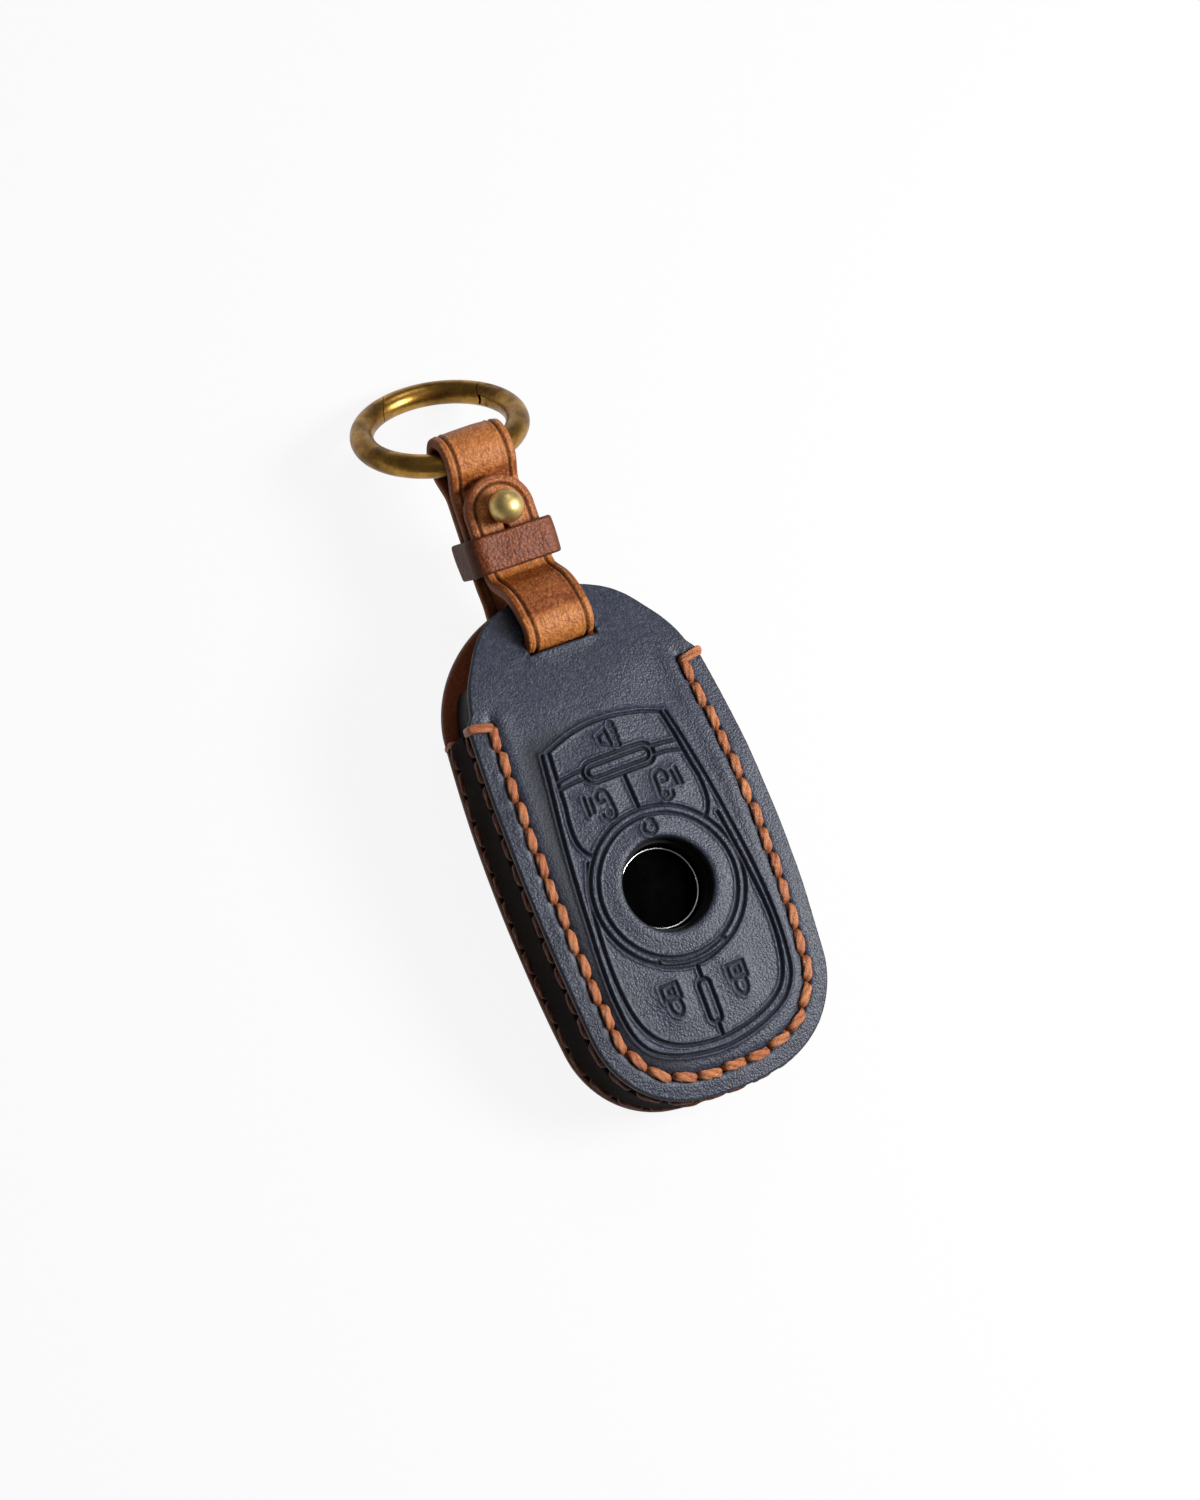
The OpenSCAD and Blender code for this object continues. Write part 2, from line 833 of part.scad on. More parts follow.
module gate_spring() {
    color("silver")
    hang()
    linear_extrude(tongue_t - 1.5 * spring_t, center = true)
    spring_shape(0);
}

module ring_gate() {
    color("goldenrod")
    hang()
    difference() {
        union() {
            intersection() {
                wire();
                linear_extrude(3 * wire_d, center = true)
                difference() {
                    gate_zone(0);
                    translate(pin_c)
                    circle(cheek_r + run_gap);
                }
            }
            intersection() {
                wire();
                tongue_slab(0)
                union() {
                    translate(pin_c)
                    circle(wire_r - play);
                    translate(pin_c)
                    rotate(pin_at + 90)
                    translate([0, -1])
                    square([3, 2]);
                }
            }
        }
        translate(pin_c)
        cylinder(h = 3 * wire_d, d = pin_d + play, center = true);
    }
}

module gate_pin() {
    color("goldenrod")
    hang()
    translate(pin_c)
    cylinder(h = wire_d - play, d = pin_d, center = true);
}

front_panel();
back_panel();
side_gusset();
front_face_stitches();
front_side_stitches();
back_side_stitches();
back_face_stitches();
key_shell_front();
key_shell_back();
key_emblem();
emblem_rim();
strap();
stud();
stud_screw();
keeper();
ring_body();
ring_gate();
gate_pin();
gate_spring();
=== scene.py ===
import math

import bpy
import numpy as np
from mathutils import Matrix, Vector


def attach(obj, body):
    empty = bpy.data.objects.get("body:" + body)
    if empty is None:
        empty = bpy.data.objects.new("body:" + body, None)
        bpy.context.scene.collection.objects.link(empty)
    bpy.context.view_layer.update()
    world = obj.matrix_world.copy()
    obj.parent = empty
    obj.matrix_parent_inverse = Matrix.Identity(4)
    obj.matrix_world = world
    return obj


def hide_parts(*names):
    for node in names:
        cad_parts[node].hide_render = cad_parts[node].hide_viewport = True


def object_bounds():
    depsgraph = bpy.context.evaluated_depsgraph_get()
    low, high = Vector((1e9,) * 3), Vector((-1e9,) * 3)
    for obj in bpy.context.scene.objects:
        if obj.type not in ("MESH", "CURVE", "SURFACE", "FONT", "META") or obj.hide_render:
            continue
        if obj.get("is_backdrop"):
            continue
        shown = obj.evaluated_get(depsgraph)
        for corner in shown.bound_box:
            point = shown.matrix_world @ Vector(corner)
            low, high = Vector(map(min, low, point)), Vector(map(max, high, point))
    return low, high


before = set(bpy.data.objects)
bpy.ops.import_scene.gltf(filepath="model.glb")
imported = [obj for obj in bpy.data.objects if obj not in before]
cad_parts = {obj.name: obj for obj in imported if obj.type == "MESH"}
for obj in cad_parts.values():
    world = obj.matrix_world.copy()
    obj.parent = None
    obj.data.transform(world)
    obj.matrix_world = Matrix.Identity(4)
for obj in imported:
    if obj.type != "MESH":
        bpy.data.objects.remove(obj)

cad_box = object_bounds()

# Sizes of the solids in millimetres, in the case's own axes: X across, Y up the case, Z out of its front
# Case: outline, faces, window and slots
CASE_W = 44.2
CASE_LOW = 34.2
CASE_TOP = 52.4
CASE_T = 18.4
CORNER_R = 16.2
BOTTOM_R = 45.0
SIDE_R = 265.0
SIDE_TURN = -5.5
LEATHER_T = 2.0
BOW_R = 255.0
FRONT_FLAP_R = 78.0
BACK_FLAP_R = 66.0
FIT_GAP = 0.3
WINDOW_R = 7.5
SLOT_Y = 43.4
SLOT_H = 2.5
SLOT_W = 11.9
# Seam
SEAM_INSET = 3.7
ROW_INSET = 3.3
STITCH_COUNT = 35
THREAD_W = 1.5
THREAD_H = 1.0
# Strap, stud and keeper
STRAP_W = 12.0
STRAP_T = 2.0
TAB_END = 73.6
BACK_Z = 1.6
STRAP_LEAN = 9.0
TURN_R = 1.4
SOFT_R = 3.0
CREASE_INSET = 1.5
STUD_Y = 68.0
NECK_D = 3.4
FOOT_T = 1.0
KEEPER_Y = 61.4
KEEPER_L = 6.2
KEEPER_T = 1.5
KEEPER_SLACK = 0.5
KEEPER_IN_R = 1.2
# Ring
RING_R = 13.0
WIRE_R = 2.0
LOOP_Y = 77.4
RING_DROP = 59.0
# Key's emblem and its rim
EMBLEM_D = 12.6
EMBLEM_DEEP = 5.0
EMBLEM_RIM_W = 0.7
EMBLEM_RIM_H = 1.4

# Detail that only the looks have, also in millimetres: grids, cut edges, and the flap's narrower outline
FRONT_STEP = 0.14
BACK_STEP = 0.3
STRAP_STEP = 0.2
EDGE_R = 0.45
GRID_MARGIN = 0.4
FLAP_INSET = 0.9
# Seam: groove, holes and sunk strip, then the wall's, then the stitches
GROOVE_DEEP = 0.42
GROOVE_W = 0.85
HOLE_DEEP = 0.5
HOLE_R = 0.55
STRIP_DEEP = 0.22
SEAM_SWELL = 0.2
WALL_ROWS = 640
WALL_SINK = 0.25
WALL_GROOVE = 0.3
WALL_HOLE_DEEP = 0.4
WALL_HOLE_R = 0.5477
WALL_EDGE = 0.35
WALL_END = 0.45
WALL_FADE = 0.25
THREAD_SIDES = 24
STITCH_DIVE = 1.1
STITCH_GAP = 0.2
STITCH_WANDER = 0.1
# Pressed front: lines, signs, raised field, window and the slot's lip and folds
LINE_W = 0.23
LINE_DEEP = 0.5
LINE_REACH = 3.0
SIGN_W = 0.24
SIGN_DEEP = 0.36
SIGN_SWELL = 0.2
SHOULDER = 0.36
FIELD_RISE = 0.42
FIELD_CROWN = 0.25
WINDOW_RISE = 0.4
WINDOW_ROUND = 0.3
SKIN_SINK = 0.35
LIP_H = 0.28
FOLD_H = 0.05
# Creases of the strap, edge and room of the keeper, edge and bead of the emblem's rim
CREASE_W = 0.24
CREASE_DEEP = 0.3
KEEPER_EDGE = 0.4
KEEPER_SIDE_GAP = 0.5
KEEPER_BACK_GAP = 0.2
EMBLEM_RIM_EDGE = 0.16
BEAD_W = 0.1


def sind(a):
    return np.sin(np.radians(a))


def cosd(a):
    return np.cos(np.radians(a))


def stacked(*parts):
    """Coordinates side by side in a last axis."""
    return np.stack(parts, -1)


def hump(x, width):
    """Bell of height one round zero."""
    return np.exp(-(x / width) ** 2)


def heading(a):
    """Unit vector at the angle a in degrees."""
    return stacked(cosd(a), sind(a))


# Edge of the case: four tangent arcs told apart by the direction of their outward normal
LOW_TURN = -math.degrees(math.acos((CASE_W / 2 - SIDE_R + (SIDE_R - CORNER_R) * cosd(SIDE_TURN))
                                   / (BOTTOM_R - CORNER_R)))
BOTTOM_C = np.array([0.0, BOTTOM_R - CASE_LOW])
CORNER_C = BOTTOM_C + (BOTTOM_R - CORNER_R) * heading(LOW_TURN)
SIDE_C = CORNER_C + (CORNER_R - SIDE_R) * heading(SIDE_TURN)
TOP_TURN = 90 - 2 * math.degrees(math.atan((SIDE_C[1] + SIDE_R - CASE_TOP) / -SIDE_C[0]))
TIP_R = SIDE_R + SIDE_C[0] / cosd(TOP_TURN)
TIP_C = SIDE_C + (SIDE_R - TIP_R) * heading(TOP_TURN)
SEAM_Y = TIP_C[1] + TIP_R * sind(TOP_TURN)
ARCS = ((BOTTOM_C, BOTTOM_R, -90.0, LOW_TURN), (CORNER_C, CORNER_R, LOW_TURN, SIDE_TURN),
        (SIDE_C, SIDE_R, SIDE_TURN, TOP_TURN), (TIP_C, TIP_R, TOP_TURN, 90.0))

# Front face: a long bow, then the arc of the flap
BOW_Z = CASE_T - BOW_R
FLAP_TURN = math.degrees(math.asin(SEAM_Y / BOW_R))
FLAP_Y = (BOW_R - FRONT_FLAP_R) * sind(FLAP_TURN)
FLAP_Z = BOW_Z + (BOW_R - FRONT_FLAP_R) * cosd(FLAP_TURN)


def face_z(y, depth=0.0):
    """Height of the front face, depth below its skin."""
    low = BOW_Z + np.sqrt((BOW_R - depth) ** 2 - y * y)
    flap = FLAP_Z + np.sqrt(np.maximum((FRONT_FLAP_R - depth) ** 2 - (y - FLAP_Y) ** 2, 1))
    return np.where(y < SEAM_Y, low, flap)


def rim(turn, depth):
    """Point of the case's edge whose outward normal has the direction turn, depth inside it."""
    point = np.zeros(np.shape(turn) + (2,))
    for centre, radius, start, end in ARCS:
        here = (turn >= start) & (turn <= end)
        arc_point = centre + (radius - np.asarray(depth))[..., None] * heading(turn)
        point = np.where(here[..., None], arc_point, point)
    return point


def seam_lengths(depth):
    """Lengths along the seam from the bottom to the end of each sewn arc, depth inside the edge."""
    parts = [(radius - depth) * math.radians(end - start) for _, radius, start, end in ARCS[:3]]
    return np.cumsum(parts)


def turn_at(s):
    """Normal direction at the length s from the bottom, measured along the seam."""
    ends = seam_lengths(SEAM_INSET)
    return np.interp(np.abs(s), [0, *ends], [-90, LOW_TURN, SIDE_TURN, TOP_TURN])


SEAM_HALF = seam_lengths(SEAM_INSET)[-1]
PITCH = 2 * SEAM_HALF / STITCH_COUNT


def round_case(s, depth):
    """Point (x, y) at the length s along the seam, depth inside the case's edge."""
    xy = rim(turn_at(s), depth)
    return stacked(xy[..., 0] * np.where(s < 0, -1, 1), xy[..., 1])


def edge_depth(p):
    """Distance of the points p (x, y) inside the case's edge."""
    q = stacked(np.abs(p[..., 0]), p[..., 1])
    signed = np.full(q.shape[:-1], 1e9)
    for centre, radius, start, end in ARCS:
        v = q - centre
        turn = np.clip(np.degrees(np.arctan2(v[..., 1], v[..., 0])), start, end)
        out = heading(turn)
        gap = q - (centre + radius * out)
        near = np.hypot(gap[..., 0], gap[..., 1])
        side = np.where((gap * out).sum(-1) > 0, -1, 1)
        signed = np.where(near < np.abs(signed), near * side, signed)
    return signed


# Place of the leaned strap, of its loop and of the whole case on the floor
FRONT_Z = BACK_Z + STRAP_T + FIT_GAP
TAB_Z = FRONT_Z + STRAP_T + FOOT_T + 1.6 * FIT_GAP
WIRE_SAG = RING_R - math.sqrt(RING_R ** 2 - STRAP_W ** 2 / 4)
LOOP_R = WIRE_R + WIRE_SAG / 2 + FIT_GAP + STRAP_T / 2
LOOP_Z = (BACK_Z + FRONT_Z) / 2
LOOP_IN = 1.3 * LOOP_R
CLIMB_Y = KEEPER_Y - KEEPER_L / 2 - STRAP_T
PIVOT = np.array([CLIMB_Y, BACK_Z])


def lean(p):
    """Turns points (y, z) of the strap up about the pivot behind the flap."""
    d = np.asarray(p, float) - PIVOT
    c, s = cosd(STRAP_LEAN), sind(STRAP_LEAN)
    return PIVOT + stacked(d[..., 0] * c - d[..., 1] * s, d[..., 0] * s + d[..., 1] * c)


def resting_turn():
    """Angle by which the ring props the case up, and the middle of its length."""
    reach = RING_R - WIRE_SAG / 2
    fall = math.radians(RING_DROP - STRAP_LEAN)
    loop = lean([LOOP_Y, LOOP_Z])
    far = np.array([loop[0] + (reach + RING_R) * math.cos(fall) + CASE_LOW,
                    loop[1] - (reach + RING_R) * math.sin(fall)])
    prop = math.atan2(-far[1], far[0]) + math.asin(WIRE_R / np.hypot(*far))
    high = far[0] * math.cos(prop) - far[1] * math.sin(prop) + WIRE_R
    low = -face_z(np.float64(-CASE_LOW)) * math.sin(prop)
    return prop, (high + low) / 2


PROP, MIDDLE = resting_turn()


def to_frame(p):
    """Case millimetres to metres in the frame of the solids."""
    y, z = p[..., 1] + CASE_LOW, p[..., 2]
    c, s = math.cos(PROP), math.sin(PROP)
    return stacked(p[..., 0], y * c - z * s - MIDDLE, y * s + z * c) / 1000


def unit(v):
    return v / np.linalg.norm(v, axis=-1, keepdims=True)


def smoothstep(x, low, high):
    t = np.clip((x - low) / (high - low), 0, 1)
    return t * t * (3 - 2 * t)


def ripple(p, scale, seed):
    """Smooth uneven height of about one unit at the points p, from a few fixed waves."""
    rng = np.random.default_rng(seed)
    total = 0
    for _ in range(7):
        turn = rng.uniform(0, math.tau)
        length = scale * rng.uniform(0.6, 1.8)
        wave = p[..., 0] * math.cos(turn) + p[..., 1] * math.sin(turn)
        total = total + np.sin(math.tau * wave / length + rng.uniform(0, math.tau))
    return total / 3.5


# Meshes
def new_object(name, data):
    made = bpy.data.objects.new(name, data)
    bpy.context.scene.collection.objects.link(made)
    return made


def make_piece(name, points, faces, material, shades, uv):
    """Smooth mesh object from points in case millimetres; shades are named values at its points."""
    mesh = bpy.data.meshes.new(name)
    mesh.from_pydata(to_frame(points).tolist(), [], faces)
    mesh.shade_smooth()
    for key, values in shades.items():
        layer = mesh.attributes.new(key, "FLOAT", "POINT")
        layer.data.foreach_set("value", np.asarray(values, np.float32).ravel())
    corners = np.empty(len(mesh.loops), np.int64)
    mesh.loops.foreach_get("vertex_index", corners)
    mesh.uv_layers.new(name="uv").data.foreach_set("uv", uv[corners].astype(np.float32).ravel())
    mesh.materials.append(material)
    mesh.update()
    return new_object(name, mesh)


def snapped_grid(low, high, step, depth):
    """Grid over a box, its points next to a shape's edge moved onto it, and the faces inside the shape."""
    counts = [int(round((b - a) / step)) + 1 for a, b in zip(low, high)]
    axes = [np.linspace(a, b, n) for a, b, n in zip(low, high, counts)]
    p = np.stack(np.meshgrid(*axes, indexing="ij"), -1)
    d = depth(p)
    snap = np.zeros(d.shape, bool)
    for a, b in ((np.s_[:-1], np.s_[1:]), (np.s_[:, :-1], np.s_[:, 1:])):
        cross = (d[a] > 0) != (d[b] > 0)
        first = np.abs(d[a]) <= np.abs(d[b])
        snap[a] |= cross & first
        snap[b] |= cross & ~first
    edge = p[snap]
    tiny = 1e-3
    for _ in range(3):
        here = depth(edge)
        slope = stacked(depth(edge + [tiny, 0]) - here, depth(edge + [0, tiny]) - here) / tiny
        edge = edge - here[:, None] * slope / np.maximum((slope ** 2).sum(-1, keepdims=True), 0.25)
    p[snap] = edge
    return p, grid_faces(p, (d > 0) | snap, step)


def grid_faces(p, used, step):
    """Quads where all four corners are used, triangles where three are; slivers are left out."""
    n, m = used.shape
    index = np.arange(n * m).reshape(n, m)
    ring = [index[:-1, :-1], index[1:, :-1], index[1:, 1:], index[:-1, 1:]]
    flags = [used.ravel()[c] for c in ring]
    count = sum(f.astype(int) for f in flags)
    parts = [stacked(*(c[count == 4] for c in ring))]
    for out in range(4):
        lone = (count == 3) & ~flags[out]
        parts.append(stacked(*(ring[(out + k) % 4][lone] for k in (1, 2, 3))))
    flat = p.reshape(-1, 2)
    kept = []
    for faces in parts:
        a, b, c, d = (flat[faces[:, k]] for k in (0, 1, 2, -1))
        area = cross2(b - a, c - a) + cross2(c - a, d - a)
        kept.extend(faces[area > 0.1 * step * step].tolist())
    return kept


def cross2(a, b):
    return a[:, 0] * b[:, 1] - a[:, 1] * b[:, 0]


def open_edges(faces):
    """Directed edges that only one face uses."""
    directed = set()
    for f in faces:
        for a, b in zip(f, f[1:] + f[:1]):
            if (b, a) in directed:
                directed.remove((b, a))
            else:
                directed.add((a, b))
    return sorted(directed)


def sheet_walls(edges, count):
    """Faces of a sheet's cut edge: bands from its grain side over three middle rows to its flesh side."""
    border = {v: k for k, v in enumerate(sorted({v for edge in edges for v in edge}))}

    def at(v, level):
        middle = 2 * count + (level - 1) * len(border) + border[v]
        return (v, middle, middle, middle, v + count)[level]
    return [[at(b, k), at(a, k), at(a, k + 1), at(b, k + 1)] for a, b in edges for k in range(4)]


def leather_sheet(name, material, low, high, step, depth, thick, place, relief, shades):
    """Sheet with rounded cut edges. place(p, h) puts domain points at the height h over the grain side;
    relief(p) is the height of the grain side; shades(p) gives named values."""
    p, faces = snapped_grid(low, high, step, depth)
    used = sorted({i for f in faces for i in f})
    number = {old: new for new, old in enumerate(used)}
    flat = p.reshape(-1, 2)[used]
    faces = [[number[i] for i in f] for f in faces]
    inside = np.clip(depth(flat), 0, EDGE_R)
    drop = EDGE_R - np.sqrt(np.maximum(EDGE_R ** 2 - (EDGE_R - inside) ** 2, 0))
    top = place(flat, relief(flat) - drop)
    base = place(flat, drop - thick)
    edges = open_edges(faces)
    border = np.unique(edges)
    mids = [top[border] * (1 - t) + base[border] * t for t in (0.25, 0.5, 0.75)]
    under = [[i + len(flat) for i in reversed(f)] for f in faces]
    domain = np.concatenate([flat, flat] + [flat[border]] * 3)
    cut = np.ones(3 * len(border))
    values = {"edge": np.concatenate([1 - smoothstep(depth(flat), 0.0, 0.5), np.zeros(len(flat)), cut]),
              "flesh": np.concatenate([np.zeros(len(flat)), np.ones(len(flat)), 0 * cut]), **shades(domain)}
    return make_piece(name, np.concatenate([top, base, *mids]), faces + under + sheet_walls(edges, len(flat)),
                      material, values, domain)


def ring_faces(n, m, closed=False, start=0):
    """Faces over n rows of m points from the point start on. Each row is a closed section; closed joins the
    last row to the first, else both have a cap."""
    i, j = np.meshgrid(np.arange(n if closed else n - 1), np.arange(m), indexing="ij")
    k, l = (i + 1) % n, (j + 1) % m
    faces = (start + stacked(i * m + j, i * m + l, k * m + l, k * m + j)).reshape(-1, 4).tolist()
    if not closed:
        end = start + n * m
        faces += [list(range(start, start + m))[::-1], list(range(end - m, end))]
    return faces


def sweep(name, material, rows, closed, uv, shades):
    """Skin over rows of points, its ends joined or capped."""
    faces = ring_faces(*rows.shape[:2], closed)
    return make_piece(name, rows.reshape(-1, 3), faces, material, shades, uv.reshape(-1, 2))


# Pressed relief
def curve(points, count=10):
    """Smooth line through points."""
    p = np.array(points, float)
    p = np.concatenate([2 * p[:1] - p[1:2], p, 2 * p[-1:] - p[-2:-1]])
    t = np.linspace(0, 1, count, endpoint=False)[:, None]
    out = []
    for a, b, c, d in zip(p[:-3], p[1:-2], p[2:-1], p[3:]):
        out.append(0.5 * (2 * b + (c - a) * t + (2 * a - 5 * b + 4 * c - d) * t ** 2
                          + (3 * b - a - 3 * c + d) * t ** 3))
    return np.concatenate(out + [p[-2:-1]])


def arc(centre, radius, start, end, count=60):
    return np.array(centre) + radius * heading(np.linspace(start, end, count))


def stadium(centre, length, width, turn=0.0):
    """Closed outline of a bar with round ends."""
    half = (length - width) / 2
    line = np.concatenate([arc((half, 0), width / 2, -90, 90, 14), arc((-half, 0), width / 2, 90, 270, 14)])
    line = np.concatenate([line, line[:1]])
    c, s = cosd(turn), sind(turn)
    return np.array(centre) + line @ np.array([[c, s], [-s, c]])


def boxed(centre, w, h):
    x, y = w / 2, h / 2
    return np.array(centre) + np.array([[-x, -y], [x, -y], [x, y], [-x, y], [-x, -y]])


def line_distance(p, line, reach):
    """Distance of each point to a line of points, cut off at reach."""
    best = np.full(len(p), float(reach))
    near = np.flatnonzero(((p > line.min(0) - reach) & (p < line.max(0) + reach)).all(1))
    q, found = p[near], best[near]
    for a, b in zip(line[:-1], line[1:]):
        v = b - a
        t = np.clip(((q - a) @ v) / max(v @ v, 1e-9), 0, 1)
        gap = q - a - t[:, None] * v
        found = np.minimum(found, np.hypot(gap[:, 0], gap[:, 1]))
    best[near] = found
    return best


def line_gap(p, lines):
    """Distance to the nearest of some lines, cut off at LINE_REACH."""
    return np.min([line_distance(p, line, LINE_REACH) for line in lines], 0)


FIELD_TOP = [(-10.3, 26.2), (-6.3, 27.6), (-2.6, 28.3), (1.5, 28.3), (5.1, 27.8), (7.7, 27.2), (10, 26.3)]
FIELD_RIGHT = [(10.9, 26.2), (11.9, 20.6), (12.8, 14.5), (13.6, 8), (14.4, 1), (14.9, -5.5), (15, -11.5),
               (14.7, -16.5), (13.9, -20.3), (11.6, -23.4), (7.3, -25.6), (1.4, -27), (-3.8, -26.9),
               (-9, -25.7), (-12.6, -23.6), (-14.6, -20.1), (-15.4, -14.5), (-15.4, -8), (-15, -1.5),
               (-14.3, 6), (-13.5, 12.5), (-12.5, 19), (-11.4, 26)]
FIELD_INNER = [(12.3, 8), (13, 2.5), (13.6, -3), (14.1, -10.2), (13.6, -16.2), (12.3, -20.3), (9.6, -22.9),
               (4.9, -24.8), (-0.8, -25.6), (-6.6, -24.8), (-10.6, -22.6), (-12.9, -19), (-13.9, -14.3),
               (-14.1, -8.6), (-13.8, -2.6), (-12.9, 3), (-11.3, 7.4)]
LEFT_BUTTONS = [(-10.2, 26), (-10.8, 21), (-11.2, 17), (-11.7, 13.9), (-11.7, 11), (-11, 9.1),
                (-10, 8)]
RIGHT_BUTTONS = [(10, 26.2), (10.7, 21.6), (11.3, 16.8), (11.7, 13.9), (11.5, 10.6), (10.7, 8.7), (9.9, 8.1)]
BAR_C = (-0.1, 20.8)
BAR_TURN = 0.5
LOW_BAR_C = (-0.5, -19.5)
RINGS_C = (-0.1, -0.2)
RINGS_R = (11.6, 12.9)


def field_lines():
    """Lines round the buttons and between them."""
    strokes = [
        FIELD_TOP, FIELD_RIGHT, FIELD_INNER, LEFT_BUTTONS, RIGHT_BUTTONS,
        [(-10.8, 21.1), (-8.5, 21.5), (-6.3, 21.7)], [(-10.9, 19.9), (-8.5, 20.2), (-6.2, 20.3)],
        [(6.1, 21.6), (8, 21.5), (10.6, 21.2)], [(6.2, 20.1), (8.4, 20), (10.9, 19.4)],
        [(0, 19), (0.1, 12.9)],
        [(-5.9, -10.6), (-4.7, -11.5), (-2, -12.1), (1.5, -12), (5, -11)],
        [(-5.9, -10.6), (-6.2, -11.6), (-4.5, -12.5), (-1.1, -13.3), (2.5, -13), (5.5, -11.6), (5, -11)],
        [(-0.5, -13.3), (-0.5, -16)], [(-0.4, -22.8), (-0.4, -25.4)]]
    rings = [arc(RINGS_C, r, 0, 360, 90) for r in RINGS_R]
    bars = [stadium(BAR_C, 12.6, 3.6, BAR_TURN), stadium(BAR_C, 10.9, 1.9, BAR_TURN),
            stadium(LOW_BAR_C, 7.2, 2, 90)]
    return rings + bars + [curve(stroke) for stroke in strokes]


def door_sign(x, y, side):
    """Sliding door with an arrow bar; side is the side that the bars are on."""
    strokes = [
        [(-1, 1.6), (-0.2, 2.3), (0.8, 1.7), (1, 0.2), (1.1, -1.8), (0.4, -2.7), (-0.8, -2.3), (-1, -1.6)],
        [(-1, 1.6), (-0.9, 0.5), (0, 0.5)], [(-2.1, 1.5), (-2.2, -0.7)], [(-3, 1.9), (-3.1, -0.9)]]
    lines = [curve(stroke) for stroke in strokes] + [arc((0.2, -1.7), 0.35, 0, 360, 12)]
    return [np.array([x, y]) + line * [side, 1] for line in lines]


def lock_sign(x, y, shackle):
    """Padlock hanging from its shackle."""
    bow = [(-0.9, -1.3), (shackle - 0.9, -3), (shackle, -3.9), (shackle + 0.9, -3), (0.9, -1.3)]
    lines = [boxed((0, 0), 2.9, 2.4), boxed((0.1, 0), 0.9, 1.1), curve(bow)]
    return [np.array([x, y]) + line for line in lines]


def sign_lines():
    """Plain signs on the buttons: horn, sliding doors, round arrow and padlocks."""
    strokes = [[(-1.7, 25.9), (-0.3, 26.4)], [(-0.3, 26.5), (-0.1, 23.8)], [(-0.1, 23.9), (-1.6, 24.5)],
               [(-1.7, 25.9), (-1.6, 24.5)], [(0.6, 10.7), (1.3, 10.3), (0.9, 9.7)]]
    dots = [arc(dot, 0.32, 0, 360, 10) for dot in ((1.1, 27), (1.2, 25.9), (1.1, 24.8), (1, 23.6))]
    return [curve(stroke) for stroke in strokes] + dots + [arc((0.4, 9.3), 1.05, -230, 60, 24)] \
        + door_sign(-4.9, 15.4, 1) + door_sign(5.4, 15.2, -1) \
        + lock_sign(-6.3, -16.1, 0.2) + lock_sign(5.4, -16.6, 0)


def pressed(distance, width, deep):
    """Groove with a low shoulder on both sides."""
    return deep * (SHOULDER * hump(distance - 2.1 * width, 0.9 * width) - hump(distance, width))


def seam_holes():
    """Places of the stitch holes along the front's seam (x, y)."""
    s = -SEAM_HALF + PITCH * np.arange(STITCH_COUNT + 1)
    return round_case(s, np.full(s.shape, SEAM_INSET))


def nearest_hole(p):
    """Distance to the nearest stitch hole, cut off at LINE_REACH."""
    best = np.full(len(p), LINE_REACH)
    for x, y in seam_holes():
        best = np.minimum(best, np.hypot(p[:, 0] - x, p[:, 1] - y))
    return best


def seam_relief(p):
    """Groove, holes and the sunk strip outside the seam, for either panel."""
    depth = edge_depth(p)
    sewn = 1 - smoothstep(p[:, 1], SEAM_Y, SEAM_Y + 2.5)
    groove = GROOVE_DEEP * hump(depth - SEAM_INSET, GROOVE_W)
    strip = STRIP_DEEP * (1 - smoothstep(depth, 0.3, SEAM_INSET))
    swell = SEAM_SWELL * hump(depth - SEAM_INSET - 2.2, 1.3)
    return (swell - groove - strip) * sewn - HOLE_DEEP * hump(nearest_hole(p), HOLE_R)


def field_gap(p, reach):
    """Distance inside the button field's outline, negative outside, up to the reach."""
    outline = np.concatenate([curve(FIELD_TOP, 4), curve(FIELD_RIGHT, 4)])
    a, b = outline, np.roll(outline, -1, 0)
    odd = np.zeros(len(p), bool)
    for (x1, y1), (x2, y2) in zip(a, b):
        crosses = (y1 > p[:, 1]) != (y2 > p[:, 1])
        if y1 != y2:
            odd ^= crosses & (p[:, 0] < (x2 - x1) * (p[:, 1] - y1) / (y2 - y1) + x1)
    gap = line_distance(p, np.concatenate([outline, outline[:1]]), reach)
    return np.where(odd, gap, -gap)


def front_relief(p):
    """Height of the front's skin: raised button field, pressed lines and signs, seam, slot and window."""
    signs = line_gap(p, sign_lines())
    field = smoothstep(field_gap(p, 2.0), -1.4, 0.4)
    window = np.hypot(p[:, 0], p[:, 1]) - WINDOW_R
    height = pressed(line_gap(p, field_lines()), LINE_W, LINE_DEEP) + pressed(signs, SIGN_W, SIGN_DEEP)
    height += SIGN_SWELL * hump(signs, 1.6) + seam_relief(p) + slot_lip(p) + 0.12 * ripple(p, 17.0, 5)
    height += field * (FIELD_RISE - FIELD_CROWN * (p[:, 0] / 16) ** 2)
    return height + WINDOW_RISE * hump(window, 3.6) - WINDOW_ROUND * hump(window, 0.6) - SKIN_SINK


def slot_lip(p):
    """Leather pushed up by the strap below the slot and pulled into folds at its ends."""
    x, y = p[:, 0], p[:, 1] - (SLOT_Y - SLOT_H / 2)
    height = LIP_H * hump(y, 1.1) * smoothstep(-np.abs(x), -SLOT_W / 2 - 1.2, -SLOT_W / 2 + 1.5)
    for side in (-1, 1):
        u, v = x - side * SLOT_W / 2, p[:, 1] - SLOT_Y + 0.6
        height = height + FOLD_H * hump(np.hypot(u, v), 3.2) * np.cos(4.5 * np.arctan2(v, u * side))
    return height


